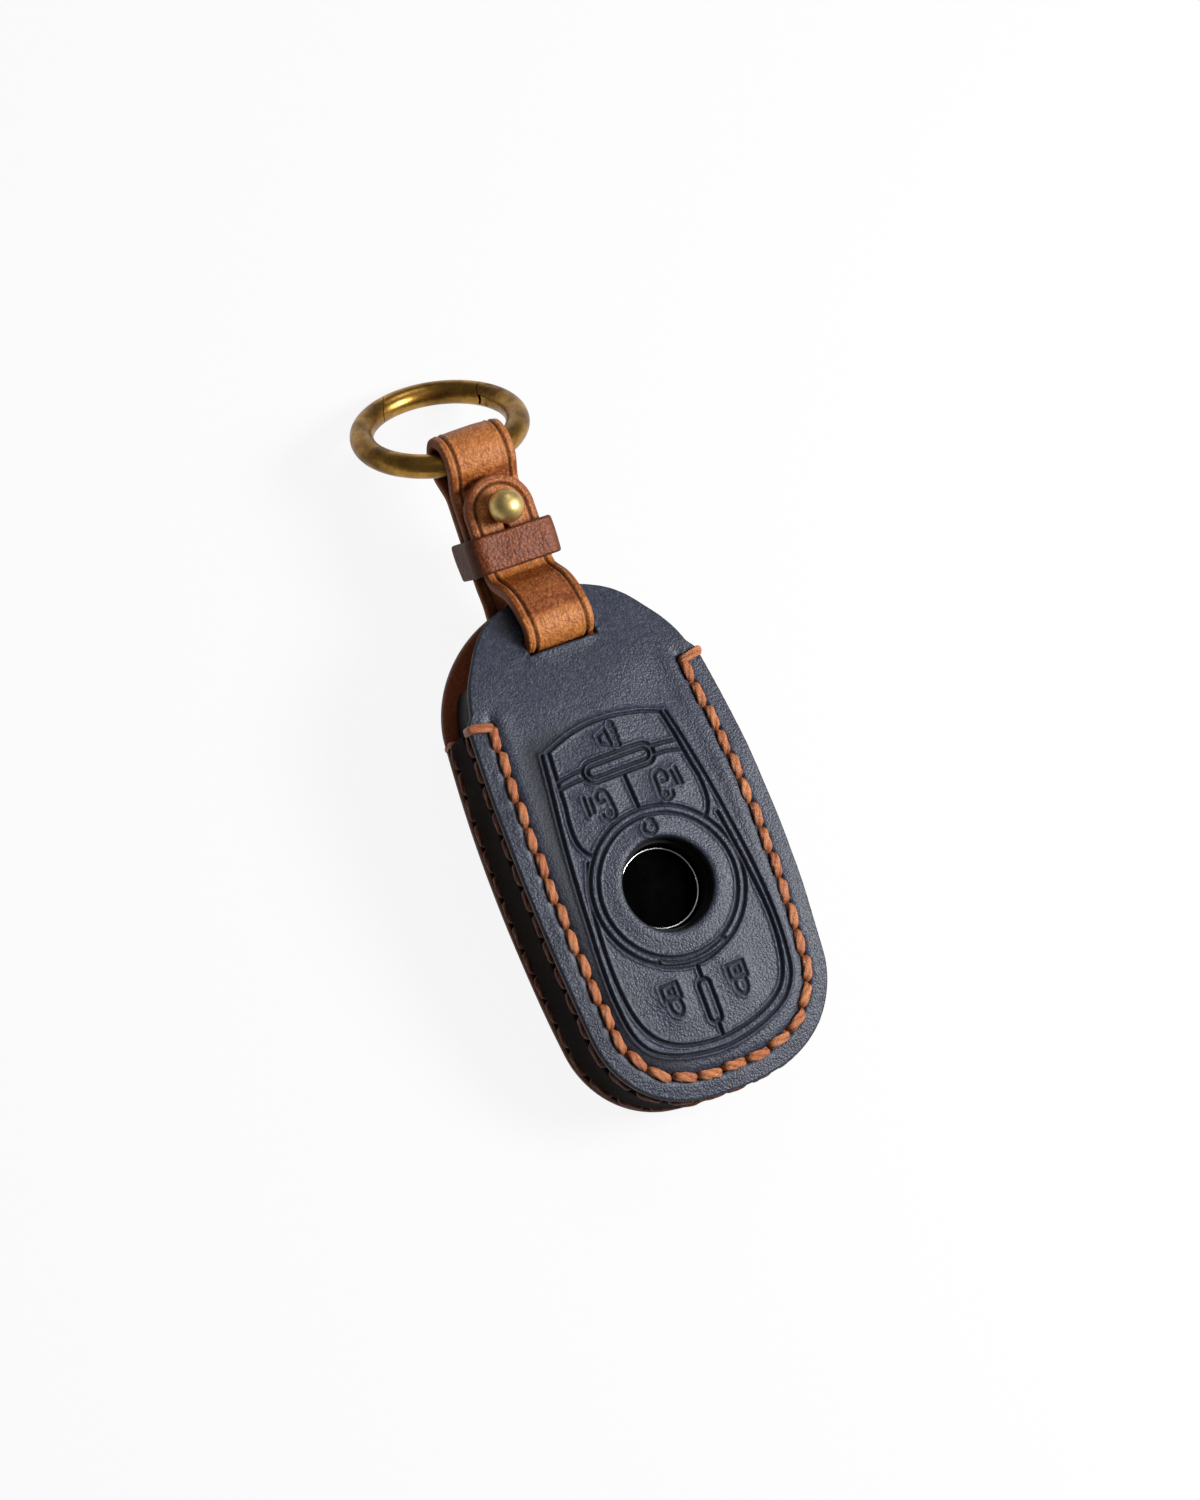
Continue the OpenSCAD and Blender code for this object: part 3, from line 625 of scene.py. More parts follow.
def seam_shade(p):
    """Painted shade in the seam's groove, for either panel."""
    return 0.8 * hump(edge_depth(p) - SEAM_INSET, 0.7) * (p[:, 1] < SEAM_Y + 0.5)


def front_shades(p):
    """Darker pressed lines, partly painted shade in their grooves; painted shade in the seam's groove, on the
    window's wall and in a band left of the field; leather lifted outside the holes.
    """
    # Pressed lines darker, partly as painted shade in their grooves
    lines = 0.85 * hump(line_gap(p, field_lines() + sign_lines()), 0.2)
    # Painted shade: the window's wall and its rounded rim are coloured near black for the shade in the recess
    window = smoothstep(WINDOW_R + 0.4 - np.hypot(p[:, 0], p[:, 1]), 0.0, 0.35)
    # Painted shade: a band beside the field, on the left side only, darkened for the side turned from the
    # lamp
    gap = field_gap(p, 5.0)
    beside = smoothstep(gap, -5.0, -1.2) * smoothstep(-gap, -0.2, 0.6)
    left_band_painted_shade = 0.65 * beside * smoothstep(-p[:, 0], 2.0, 11.0)
    lifted = hump(nearest_hole(p) - 1.15, 0.3) * (edge_depth(p) < SEAM_INSET)
    return {"press": np.max([lines, window, seam_shade(p), left_band_painted_shade], 0), "scuff": lifted}


def panel_depth(p):
    """Distance inside a panel with the strap's slot, no window."""
    slot = np.maximum(np.abs(p[..., 0]) - SLOT_W / 2, np.abs(p[..., 1] - SLOT_Y) - SLOT_H / 2)
    return np.minimum(edge_depth(p), slot)


def front_depth(p):
    """Distance inside the front panel, whose flap is a little narrower above the seam."""
    y = p[..., 1]
    inset = FLAP_INSET * smoothstep(y, SEAM_Y + 0.4, SEAM_Y + 2.6) * smoothstep(-y, -50.0, -43.0)
    window = np.hypot(p[..., 0], y) - WINDOW_R
    return np.minimum(np.minimum(panel_depth(p), edge_depth(p) - inset), window)


def on_front(p, h):
    """Place on the front face, h out of it."""
    y = p[:, 1]
    centre_y = np.where(y < SEAM_Y, 0.0, FLAP_Y)
    radius = np.where(y < SEAM_Y, BOW_R, FRONT_FLAP_R)
    slope = (y - centre_y) / radius
    z = face_z(y)
    return stacked(p[:, 0], y + h * slope, z + h * np.sqrt(1 - slope ** 2))


def on_back(p, h):
    """Place on the back face, h out of it."""
    y = p[:, 1]
    slope = np.clip((y - SEAM_Y) / BACK_FLAP_R, 0, 0.9)
    z = BACK_FLAP_R * (1 - np.sqrt(1 - slope ** 2))
    return stacked(p[:, 0], y + h * slope, z - h * np.sqrt(1 - slope ** 2))


def back_relief(p):
    return np.minimum(seam_relief(p) + 0.1 * ripple(p, 19.0, 9) - 0.1, 0.1)


def back_shades(p):
    return {"press": seam_shade(p), "scuff": np.zeros(len(p))}


# Side wall
def gusset_relief(s, z, top):
    """Height of the wall's skin at the length s and the height z, under the front face's height top."""
    along = np.abs((s + SEAM_HALF + PITCH / 2) % PITCH - PITCH / 2)
    height = -WALL_SINK * np.sin(math.pi * np.clip(z / top, 0, 1)) ** 2
    for row in (ROW_INSET, top - ROW_INSET):
        height = height - WALL_GROOVE * hump(z - row, 0.8)
        height = height - WALL_HOLE_DEEP * hump(np.hypot(z - row, along), WALL_HOLE_R)
    return height + WALL_END * hump(SEAM_HALF - np.abs(s), 2.2) + 0.1 * ripple(stacked(s, z), 13.0, 3)


def side_gusset(material):
    """Wall strip sewn between the panels, its ends rounded off."""
    s = np.linspace(-SEAM_HALF, SEAM_HALF, WALL_ROWS)[:, None]
    room = face_z(rim(turn_at(s), 0 * s)[..., 1], LEATHER_T) - LEATHER_T
    up, down = np.linspace(0, 1, 12), np.linspace(1, 0, 44)
    z = LEATHER_T + room * down
    rounding = WALL_EDGE * np.exp(-np.minimum(room * down, room * (1 - down)) / WALL_FADE)
    skin = gusset_relief(s + 0 * z, z, room + 2 * LEATHER_T) - rounding
    depth = np.concatenate([np.full((len(s), len(up)), LEATHER_T), -skin], 1)
    heights = LEATHER_T + room * np.concatenate([up, down])
    flesh = depth > LEATHER_T / 2
    depth = depth + WALL_END * np.exp(-(SEAM_HALF - np.abs(s)) / WALL_FADE) * np.where(flesh, -1, 1)
    xy = round_case(s + 0 * depth, depth)
    # Painted shade in the grooves of the two stitch rows on the wall
    press = ~flesh * (hump(heights - ROW_INSET, 0.6) + hump(heights - room - 2 * LEATHER_T + ROW_INSET, 0.6))
    shades = {"press": press, "flesh": flesh, "edge": 0 * press, "scuff": 0 * press}
    return sweep("side_gusset_leather", material, stacked(xy[..., 0], xy[..., 1], heights), False,
                 stacked(s + 0 * heights, heights), shades)


# Strap and keeper
def bend(a, b, c, radius, count=24):
    """Rounded corner b of a path a-b-c."""
    a, b, c = (np.asarray(v, float) for v in (a, b, c))
    u, w = unit(a - b), unit(c - b)
    half = math.acos(float(np.clip(u @ w, -1, 1))) / 2
    middle = b + unit(u + w) * radius / math.sin(half)
    p = b + u * radius / math.tan(half) - middle
    side = -1 if u[0] * w[1] - u[1] * w[0] > 0 else 1
    start = math.atan2(p[1], p[0])
    turns = start + side * (math.pi - 2 * half) * np.linspace(0, 1, count + 1)
    return middle + radius * stacked(np.cos(turns), np.sin(turns))


def run_along(line):
    """Length from the first point to each point of a line."""
    return np.concatenate([[0], np.cumsum(np.hypot(*np.diff(line, axis=0).T))])


def strap_line():
    """Middle line (y, z) of the strap, from the tab's end through the case and round the ring."""
    tab_tip, tab_foot = lean([TAB_END, TAB_Z]), lean([CLIMB_Y + STRAP_T / 4, TAB_Z])
    flap_z = float(face_z(np.float64(CASE_TOP)))
    crest = [CASE_TOP - 0.2 * STRAP_T, flap_z + 1.3 * STRAP_T]
    bulge = [SLOT_Y, flap_z + 2.9 * STRAP_T]
    dive = [SLOT_Y, -0.8 * STRAP_T]
    behind = [CASE_TOP + STRAP_T / 2, BACK_Z]
    back_in, front_in = lean([LOOP_Y - LOOP_IN, BACK_Z]), lean([LOOP_Y - LOOP_IN, FRONT_Z])
    rise = LOOP_Z - BACK_Z
    start = 180 + math.degrees(math.atan(rise / LOOP_IN) + math.acos(LOOP_R / math.hypot(LOOP_IN, rise)))
    loop = lean(arc((LOOP_Y, LOOP_Z), LOOP_R, start, 720 - start, 80))
    front_foot = lean([CLIMB_Y, FRONT_Z])
    corners = [tab_tip, tab_foot, crest, bulge, dive, behind, PIVOT, back_in, loop[0]]
    turn_r = 0.75 * (TURN_R + STRAP_T / 2)
    radii = [0.85 * SOFT_R, 2.7 * SOFT_R, SOFT_R, turn_r, 2 * SOFT_R, 2 * SOFT_R, SOFT_R]
    bends = [bend(*around) for around in zip(corners, corners[1:], corners[2:], radii)]
    line = np.concatenate([[tab_tip], *bends, loop, bend(loop[-1], front_in, front_foot, SOFT_R),
                           [lean([CLIMB_Y + STRAP_T, FRONT_Z])]])
    apart = np.hypot(*np.diff(line, axis=0).T) > 1e-4
    line = line[np.concatenate([[True], apart])]
    return run_along(line), line


class StrapShape:
    """Strap as a flat domain (length, across) wrapped onto its middle line."""

    def __init__(self):
        run, line = strap_line()
        self.length = run[-1]
        self.s = np.linspace(0, self.length, 1400)
        self.line = stacked(*(np.interp(self.s, run, line[:, k]) for k in (0, 1)))
        tangent = unit(np.gradient(self.line, self.s, axis=0))
        kernel = np.hanning(9) / np.hanning(9).sum()
        soft = [np.convolve(np.pad(tangent[:, k], 4, "edge"), kernel, "valid") for k in (0, 1)]
        self.tangent = unit(stacked(*soft))
        turn = np.unwrap(np.arctan2(self.tangent[:, 1], self.tangent[:, 0]))
        self.bend = np.abs(np.gradient(turn, self.s))

    def outline(self, p):
        """Distance inside the strap's edge, without its hole."""
        s, x = p[..., 0], np.abs(p[..., 1])
        round_end = STRAP_W / 2 - np.hypot(x, s - STRAP_W / 2)
        side = np.where(s < STRAP_W / 2, round_end, STRAP_W / 2 - x)
        return np.minimum(side, self.length - s)

    def depth(self, p):
        """Distance inside the strap with the stud's hole and its slit."""
        s, x = p[..., 0] - (TAB_END - STUD_Y), p[..., 1]
        hole = np.hypot(s, x) - NECK_D / 2 - 0.2
        slit = np.maximum(np.abs(x) - 0.3, np.abs(s - 1.8) - 1.8)
        return np.minimum(self.outline(p), np.minimum(hole, slit))

    def place(self, p, h):
        at = [np.interp(p[:, 0], self.s, self.line[:, k]) for k in (0, 1)]
        ty, tz = (np.interp(p[:, 0], self.s, self.tangent[:, k]) for k in (0, 1))
        out = STRAP_T / 2 + h
        return stacked(p[:, 1], at[0] + tz * out, at[1] - ty * out)

    def relief(self, p):
        inset = self.outline(p)
        crease = pressed(np.abs(inset - CREASE_INSET), CREASE_W, CREASE_DEEP)
        crown = 0.16 * smoothstep(inset, 0, 4.5) - 0.16
        return crease + crown + 0.05 * ripple(p, 9.0, 21)

    def shades(self, p):
        inset = self.outline(p)
        pull = np.interp(p[:, 0], self.s, np.convolve(self.bend, np.hanning(31) / 15.0, "same"))
        nap = 0.9 * hump(inset - CREASE_INSET + 0.42, 0.24)
        # Painted light: the tab's middle is lightened against the stud's shadow that falls on it
        tab = 0.7 * (1 - smoothstep(p[:, 0], 9.0, 11.0)) * smoothstep(inset, CREASE_INSET, CREASE_INSET + 0.5)
        # Creases darker, partly as their painted shade
        return {"press": hump(inset - CREASE_INSET, 0.2),
                "scuff": np.max([smoothstep(pull, 0.05, 0.3), nap, tab], 0)}


def strap(material):
    shape = StrapShape()
    low, high = (0, -STRAP_W / 2), (shape.length, STRAP_W / 2)
    return leather_sheet("strap_leather", material, low, high, STRAP_STEP, shape.depth, STRAP_T, shape.place,
                         shape.relief, shape.shades)


def round_box(w, h, radius, step=0.25):
    """Points and outward normals round a box with round corners, evenly walked."""
    points, normals = [], []
    for k, (x, y) in enumerate(((1, 1), (-1, 1), (-1, -1), (1, -1))):
        corner = np.array([x * (w / 2 - radius), y * (h / 2 - radius)])
        out = heading(np.linspace(90 * k, 90 * k + 90, max(3, int(radius * 1.6 / step))))
        reach = (h if k % 2 else w) - 2 * radius
        run = np.linspace(0, reach, max(2, int(reach / step)), endpoint=False)[1:, None]
        points += [corner + radius * out, corner + radius * out[-1] + run * heading(np.float64(90 * k + 180))]
        normals += [out, out[-1] + 0 * run]
    return np.concatenate(points), np.concatenate(normals)


def keeper(material):
    """Closed loop of leather round the strap's layers."""
    in_w = STRAP_W + KEEPER_SIDE_GAP
    in_h = TAB_Z - BACK_Z + STRAP_T + KEEPER_BACK_GAP + KEEPER_SLACK
    centre_z = BACK_Z - STRAP_T / 2 - KEEPER_BACK_GAP + in_h / 2
    path, out = round_box(in_w + KEEPER_T, in_h + KEEPER_T, KEEPER_IN_R + KEEPER_T / 2)
    section, _ = round_box(KEEPER_L, KEEPER_T, KEEPER_EDGE, 0.22)
    s, across = np.broadcast_arrays(run_along(path)[:, None], section[:, 0])
    domain = stacked(s, across)
    grain_side = section[:, 1] > 0
    swell = 0.07 * ripple(domain, 7.0, 31) + 0.1 - 0.1 * (across / (KEEPER_L / 2)) ** 2
    skin = section[:, 1] + grain_side * swell
    sway = 0.1 * ripple(stacked(s, 0 * s), 9.0, 33)
    x = path[:, None, 0] + out[:, None, 0] * skin
    z = path[:, None, 1] + out[:, None, 1] * skin + centre_z
    yz = lean(stacked(KEEPER_Y + across + sway, z))
    edge = smoothstep(np.abs(across), KEEPER_L / 2 - KEEPER_EDGE, KEEPER_L / 2 - 0.05)
    # Painted shade: both sides of the keeper are darkened as though turned from the light; worn here names
    # that painted shade, not wear
    worn = 0.55 * smoothstep(np.abs(path[:, None, 0]) + 0 * across, in_w / 2 - 0.6, in_w / 2 + 0.4)
    shades = {"edge": edge, "flesh": (section[:, 1] < -0.2) * (1 - edge), "press": worn,
              "scuff": 0.4 * (1 - edge)}
    return sweep("keeper_leather", material, stacked(x, yz[..., 0], yz[..., 1]), True, domain, shades)


def emblem_ring(material):
    """Black ring round the emblem with a thin bright bead on its inner edge."""
    section, _ = round_box(EMBLEM_RIM_W, EMBLEM_RIM_H, EMBLEM_RIM_EDGE, 0.06)
    radius = EMBLEM_D / 2 + EMBLEM_RIM_W / 2 + section[:, 0]
    height = CASE_T - EMBLEM_DEEP - 1 + EMBLEM_RIM_H / 2 + section[:, 1]
    turn = np.linspace(0, 360, 144, endpoint=False)[:, None]
    rows = stacked(radius * cosd(turn), radius * sind(turn), height + 0 * turn)
    top, inner = EMBLEM_RIM_H / 2 - section[:, 1], EMBLEM_RIM_W / 2 + section[:, 0] - EMBLEM_RIM_EDGE
    bead = smoothstep(-top, -2 * BEAD_W, -BEAD_W) * (1 - smoothstep(inner, 0, BEAD_W))
    uv = stacked(turn + 0 * radius, section[:, 1] + 0 * turn)
    return sweep("emblem_rim_bead", material, rows, True, uv, {"bright": bead + 0 * turn})


# Thread
def plies(t, phi, seed):
    """Radius of a stitch of three twisted plies at the part t of its length and the angle phi, and how deep
    that place lies between the plies."""
    ply = np.abs(np.cos(1.5 * (phi + 3.2 * t + 1.7 * seed)))
    swell = 0.66 + 0.34 * np.sin(math.pi * t) ** 0.45
    jitter = 1 + 0.04 * np.sin(9 * t + 2.3 * seed) * np.cos(2 * phi)
    return swell * (0.82 + 0.27 * ply ** 0.7) * jitter, 1 - ply


def thread_tubes(paths, sides):
    """Twisted waxed threads along paths (n, k, 3), flattened, with their flat side along sides."""
    n, k = paths.shape[:2]
    tangent = unit(np.gradient(paths, axis=1))
    sides = unit(sides - (sides * tangent).sum(-1, keepdims=True) * tangent)
    up = np.cross(sides, tangent)
    phi = np.linspace(0, math.tau, THREAD_SIDES, endpoint=False)
    t = np.linspace(0, 1, k)[None, :, None]
    seed = np.arange(n)[:, None, None]
    radius, valley = plies(t, phi, seed)
    ring = (sides[:, :, None] * (np.cos(phi) * radius * THREAD_W / 2)[..., None]
            + up[:, :, None] * (np.sin(phi) * radius * THREAD_H / 2)[..., None])
    uv = stacked(*np.broadcast_arrays(t + seed * 0.37, phi / math.tau + 0 * t + 0 * seed))
    # Painted shade between the plies and where the stitch dives into its hole
    dive = 1 - np.sin(math.pi * t) ** 0.35
    shades = {"press": np.clip(0.75 * valley ** 2.5 + dive, 0, 1), "tone": (seed * 0.618) % 1.0 + 0 * valley}
    size = k * THREAD_SIDES
    faces = [face for tube in range(n) for face in ring_faces(k, THREAD_SIDES, start=tube * size)]
    return ((paths[:, :, None] + ring).reshape(-1, 3), faces, uv.reshape(-1, 2),
            {key: values.ravel() for key, values in shades.items()})


def face_spot(place):
    """Point on a panel's seam: length s, offset v from the seam, height h."""
    def spot(s, v, h):
        flat = round_case(s, SEAM_INSET + v)
        return place(flat.reshape(-1, 2), h.ravel()).reshape(s.shape + (3,))
    return spot


def side_spot(from_front):
    """Point on a side row: length s, offset v up the wall, height h out of it."""
    def spot(s, v, h):
        xy = round_case(s, -h)
        row = face_z(round_case(s, 0 * s)[..., 1]) - ROW_INSET if from_front else ROW_INSET
        return stacked(xy[..., 0], xy[..., 1], row + v)
    return spot


def stitch_paths(spot, slant, high):
    """Centre lines and flat sides of all the stitches of one row."""
    t = np.linspace(0, 1, 17)
    first = -SEAM_HALF + PITCH * np.arange(STITCH_COUNT)[:, None]
    s = first + STITCH_GAP / 2 + (PITCH - STITCH_GAP) * t
    v = slant * (0.5 - t) + STITCH_WANDER * np.sin(5.1 * first)
    h = high - STITCH_DIVE * (1 - smoothstep(t, 0, 0.2) * smoothstep(1 - t, 0, 0.2)) + 0 * s
    path = spot(s, v, h)
    return path, np.cross(spot(s, v, h + 0.5) - path, np.gradient(path, axis=1))


def wrap_paths(front):
    """End stitches that go over the edge, from the face's last hole to the wall's."""
    line = curve([(-3.7, -1.1), (-3.6, -0.2), (-2.9, 0.05), (-1.3, 0.1), (-0.4, -0.05), (-0.05, -0.5),
                  (-0.05, -1.4), (-0.1, -2.6), (-0.4, -3.2), (-1.2, -3.4)], 3)
    edge, out = rim(np.float64(TOP_TURN), np.float64(0)), heading(TOP_TURN)
    inset = line[:, 0] - (0 if front else 0.4)
    z = float(face_z(edge[1])) + line[:, 1] if front else -line[:, 1]
    paths, sides = [], []
    for flip in (-1, 1):
        paths.append(stacked((edge[0] + out[0] * inset) * flip, edge[1] + (out[1] + 0.12) * inset, z))
        along = np.array([-out[1] * flip, out[0], 0.0]) * (flip if front else -flip)
        sides.append(np.repeat(along[None], len(z), 0))
    return np.array(paths), np.array(sides)


def stitches(name, spot, slant, high, material, wraps):
    """One row of stitches, with end stitches over the edge where wraps says whether the face is the front."""
    points, faces, uv, shades = thread_tubes(*stitch_paths(spot, slant, high))
    if wraps is not None:
        more, more_faces, more_uv, more_shades = thread_tubes(*wrap_paths(wraps))
        faces = faces + [[i + len(points) for i in f] for f in more_faces]
        points, uv = np.concatenate([points, more]), np.concatenate([uv, more_uv])
        shades = {key: np.concatenate([values, more_shades[key]]) for key, values in shades.items()}
    return make_piece(name, points, faces, material, shades, uv)


# Materials
class Shader:
    """Node material in the making. Texture scales count per metre, bump distances are metres."""

    def __init__(self, name):
        self.material = bpy.data.materials.new(name)
        self.material.use_nodes = True
        self.tree = self.material.node_tree
        self.bsdf = self.tree.nodes["Principled BSDF"]

    def put(self, node, inputs):
        """Links or sets sockets, given by name or number."""
        for key, value in inputs.items():
            if isinstance(value, bpy.types.NodeSocket):
                self.tree.links.new(value, node.inputs[key])
            else:
                node.inputs[key].default_value = value

    def add(self, kind, inputs, output=0, **settings):
        """One output of a new node."""
        node = self.tree.nodes.new(kind)
        for key, value in settings.items():
            setattr(node, key, value)
        self.put(node, inputs)
        return node.outputs[output]

    def set(self, **sockets):
        """Sockets of the surface itself, the spaces of their names written as underscores."""
        self.put(self.bsdf, {key.replace("_", " "): value for key, value in sockets.items()})

    def place(self):
        return self.add("ShaderNodeTexCoord", {}, "Object")

    def uv(self, scale):
        return self.add("ShaderNodeMapping", {"Vector": self.add("ShaderNodeUVMap", {}), "Scale": scale})

    def noise(self, vector, scale, detail=3.0, rough=0.55):
        return self.add("ShaderNodeTexNoise", {"Vector": vector, "Scale": scale, "Detail": detail,
                                               "Roughness": rough})

    def pores(self, vector, scale):
        """Cells whose places are moved about by noise, so that they look grown."""
        push = self.add("ShaderNodeTexNoise", {"Vector": vector, "Scale": 500, "Detail": 2.0}, "Color")
        push = self.add("ShaderNodeVectorMath", {0: push, 1: (0.0006, 0.0006, 0.0006)}, operation="MULTIPLY")
        grown = self.add("ShaderNodeVectorMath", {0: vector, 1: push}, operation="ADD")
        return self.add("ShaderNodeTexVoronoi", {"Vector": grown, "Scale": scale})

    def value(self, name):
        return self.add("ShaderNodeAttribute", {}, "Fac", attribute_name=name)

    def math(self, operation, a, b):
        return self.add("ShaderNodeMath", {0: a, 1: b}, operation=operation)

    def span(self, x, low, high, to_low=0.0, to_high=1.0):
        return self.add("ShaderNodeMapRange", {"Value": x, "From Min": low, "From Max": high,
                                               "To Min": to_low, "To Max": to_high})

    def mix(self, amount, a, b):
        """Colour between a and b, through the numbered colour sockets of the node."""
        return self.add("ShaderNodeMix", {0: amount, 6: a, 7: b}, 2, data_type="RGBA")

    def bump(self, height, distance, strength, **more):
        return self.add("ShaderNodeBump", {"Height": height, "Distance": distance, "Strength": strength,
                                           **more})


def rgb(r, g, b):
    """Linear colour from the usual 0 to 255 values."""
    return tuple(((v / 255 + 0.055) / 1.055) ** 2.4 if v > 10 else v / 3294.6 for v in (r, g, b)) + (1.0,)


def leather(name, dark, plain, pale, press, edge, flesh, rough, shine, grain, deep):
    """Waxed leather: clouded colour, pebbled grain, darker lines and painted shade, lighter scuffs and
    painted light, burnished edges and a bare flesh side.
    """
    m = Shader(name)
    at = m.place()
    cloud = m.noise(at, 70, 3.0, 0.5)
    fleck = m.noise(at, 1100, 5.0, 0.65)
    pores = m.pores(at, grain)
    colour = m.mix(m.span(cloud, 0.3, 0.7), dark, plain)
    colour = m.mix(m.span(fleck, 0.45, 0.75, 0.0, 0.6), colour, pale)
    colour = m.mix(m.span(pores, 0.35, 0.75, 0.0, 0.6), colour, dark)
    # Lighter where scuffed, and painted light where the strap's tab lies in the stud's shadow
    rubbed = m.math("MULTIPLY", m.value("scuff"), m.span(fleck, 0.3, 0.65, 0.35, 1.0))
    colour = m.mix(m.math("MULTIPLY", rubbed, 0.75), colour, pale)
    worn = m.mix(m.span(fleck, 0.35, 0.7), edge, m_scale(edge, 0.7))
    colour = m.mix(m.value("edge"), colour, worn)
    nap = m.mix(m.span(m.noise(at, 1500, 5.0, 0.7), 0.3, 0.7), flesh, m_scale(flesh, 0.6))
    colour = m.mix(m.value("flesh"), colour, nap)
    # Darker pressed lines and creases, partly their painted shade, and painted shade in grooves, recesses and
    # on sides turned from the lamp
    colour = m.mix(m.math("MULTIPLY", m.value("press"), 0.92), colour, press)
    bare = m.math("MAXIMUM", m.value("flesh"), m.math("MULTIPLY", m.value("edge"), 0.6))
    bare = m.math("MAXIMUM", bare, m.value("press"))
    gloss = m.math("ADD", m.span(fleck, 0.3, 0.7, rough - 0.06, rough + 0.08), m.math("MULTIPLY", bare, 0.35))
    pebbles = m.math("MULTIPLY", m.noise(at, 2.4 * grain), 0.6)
    height = m.math("ADD", m.math("MULTIPLY", pores, -0.8), pebbles)
    normal = m.bump(m.noise(at, 420, 4.0, 0.6), 0.00012, 0.45)
    m.set(Base_Color=colour, Roughness=gloss, Normal=m.bump(height, deep, 0.8, Normal=normal),
          Specular_IOR_Level=shine)
    return m.material


def m_scale(colour, k):
    return tuple(v * k for v in colour[:3]) + (1.0,)


def thread_material(name, low, high, light, deep, shine):
    """Waxed thread: fibres along the stitch with painted highlights, and painted shade between the plies and
    where it dives.
    """
    m = Shader(name)
    fibre = m.noise(m.uv((2.2, 26.0, 1.0)), 3.0, 4.0, 0.7)
    tone = m.mix(m.value("tone"), low, high)
    colour = m.mix(m.span(fibre, 0.3, 0.6), m_scale(low, 0.6), tone)
    # Painted highlight: streaks along the fibres are lightened towards the light colour
    colour = m.mix(m.span(fibre, 0.52, 0.7, 0.0, 0.8), colour, light)
    colour = m.mix(m.math("MULTIPLY", m.value("press"), 0.85), colour, deep)
    m.set(Base_Color=colour, Roughness=m.span(fibre, 0.3, 0.7, 0.5, 0.38),
          Normal=m.bump(fibre, 0.00018, 0.9), Specular_IOR_Level=shine)
    return m.material


def brass(name, worn, dark, rough):
    """Aged brass: brown tarnish, rubbed brighter in places, with fine scratches."""
    m = Shader(name)
    at = m.place()
    cloud = m.noise(at, 160, 4.0, 0.6)
    fine = m.noise(at, 1800, 4.0, 0.7)
    colour = m.mix(m.span(cloud, 0.38, 0.66), dark, worn)
    colour = m.mix(m.span(fine, 0.5, 0.75, 0.0, 0.5), colour, m_scale(dark, 0.6))
    m.set(Base_Color=colour, Roughness=m.span(cloud, 0.3, 0.7, rough + 0.08, rough - 0.06),
          Normal=m.bump(m.math("ADD", fine, m.noise(at, 500, 3.0)), 0.00005, 0.5), Metallic=1.0)
    return m.material


def key_plastic():
    """Black moulded plastic with a fine texture."""
    m = Shader("key_plastic")
    at = m.place()
    fine = m.noise(at, 5200, 3.0, 0.6)
    colour = m.mix(m.span(m.noise(at, 120), 0.4, 0.6), rgb(14, 14, 16), rgb(24, 24, 27))
    m.set(Base_Color=colour, Roughness=m.span(fine, 0.3, 0.7, 0.45, 0.62),
          Normal=m.bump(fine, 0.00003, 0.5), Specular_IOR_Level=0.12)
    return m.material


def emblem_black():
    """Deep gloss black of the emblem disc, with faint wiping marks."""
    m = Shader("emblem_black")
    at = m.place()
    colour = m.mix(m.span(m.noise(at, 300), 0.4, 0.7), rgb(1, 1, 1), rgb(5, 5, 6))
    m.set(Base_Color=colour, Roughness=m.span(m.noise(at, 900, 4.0), 0.3, 0.7, 0.3, 0.42),
          Normal=m.bump(m.noise(at, 2500), 0.00001, 0.2), Specular_IOR_Level=0.004)
    return m.material


def bright_metal(name, colour, rough, beaded=False):
    """Plated bright metal with faint handling marks; beaded keeps it to the named bead, black elsewhere."""
    m = Shader(name)
    at = m.place()
    tint = m.mix(m.span(m.noise(at, 400), 0.4, 0.7), colour, m_scale(colour, 0.75))
    if beaded:
        tint = m.mix(m.value("bright"), rgb(4, 4, 5), tint)
    m.set(Base_Color=tint, Roughness=m.span(m.noise(at, 1500), 0.3, 0.7, rough, rough + 0.1),
          Normal=m.bump(m.noise(at, 3000), 0.00002, 0.3), Metallic=1.0)
    return m.material


# Camera: direction of its back and the point that it looks at in the case's axes, roll in radians,
# distance and sensor in millimetres, focal length in pixels of a photograph PHOTO_H high
CAMERA_BACK = (-0.3377, -0.0827)
CAMERA_ROLL = -0.3768
CAMERA_FAR = 600.0
CAMERA_AIM = (0.60, 24.37, 10.0)
SENSOR = 36.0
PHOTO_H = 1500
FOCAL = 3730

# Floor in metres, and how white it looks
FLOOR_HALF = 3.0
FLOOR_GLOW = 0.9


def turned(v):
    """Direction in the case's axes to the frame's."""
    return Vector((to_frame(v) - to_frame(0 * v)) * 1000)


def camera_axes():
    """Right, up and back of the camera, in the frame."""
    bx, by = CAMERA_BACK
    back = np.array([bx, by, math.sqrt(1 - bx * bx - by * by)])
    level = unit(np.cross([0.0, 1.0, 0.0], back))
    rise = np.cross(back, level)
    c, s = math.cos(CAMERA_ROLL), math.sin(CAMERA_ROLL)
    return [turned(v) for v in (level * c + rise * s, rise * c - level * s, back)]


def aim_point():
    return Vector(to_frame(np.array(CAMERA_AIM)))


def add_camera():
    right, up, back = camera_axes()
    data = bpy.data.cameras.new("camera")
    data.sensor_width = SENSOR
    data.lens = SENSOR * FOCAL / PHOTO_H
    camera = new_object("camera", data)
    turn = Matrix((right, up, back)).transposed().to_4x4()
    camera.matrix_world = Matrix.Translation(aim_point() + back * CAMERA_FAR / 1000) @ turn
    bpy.context.scene.camera = camera


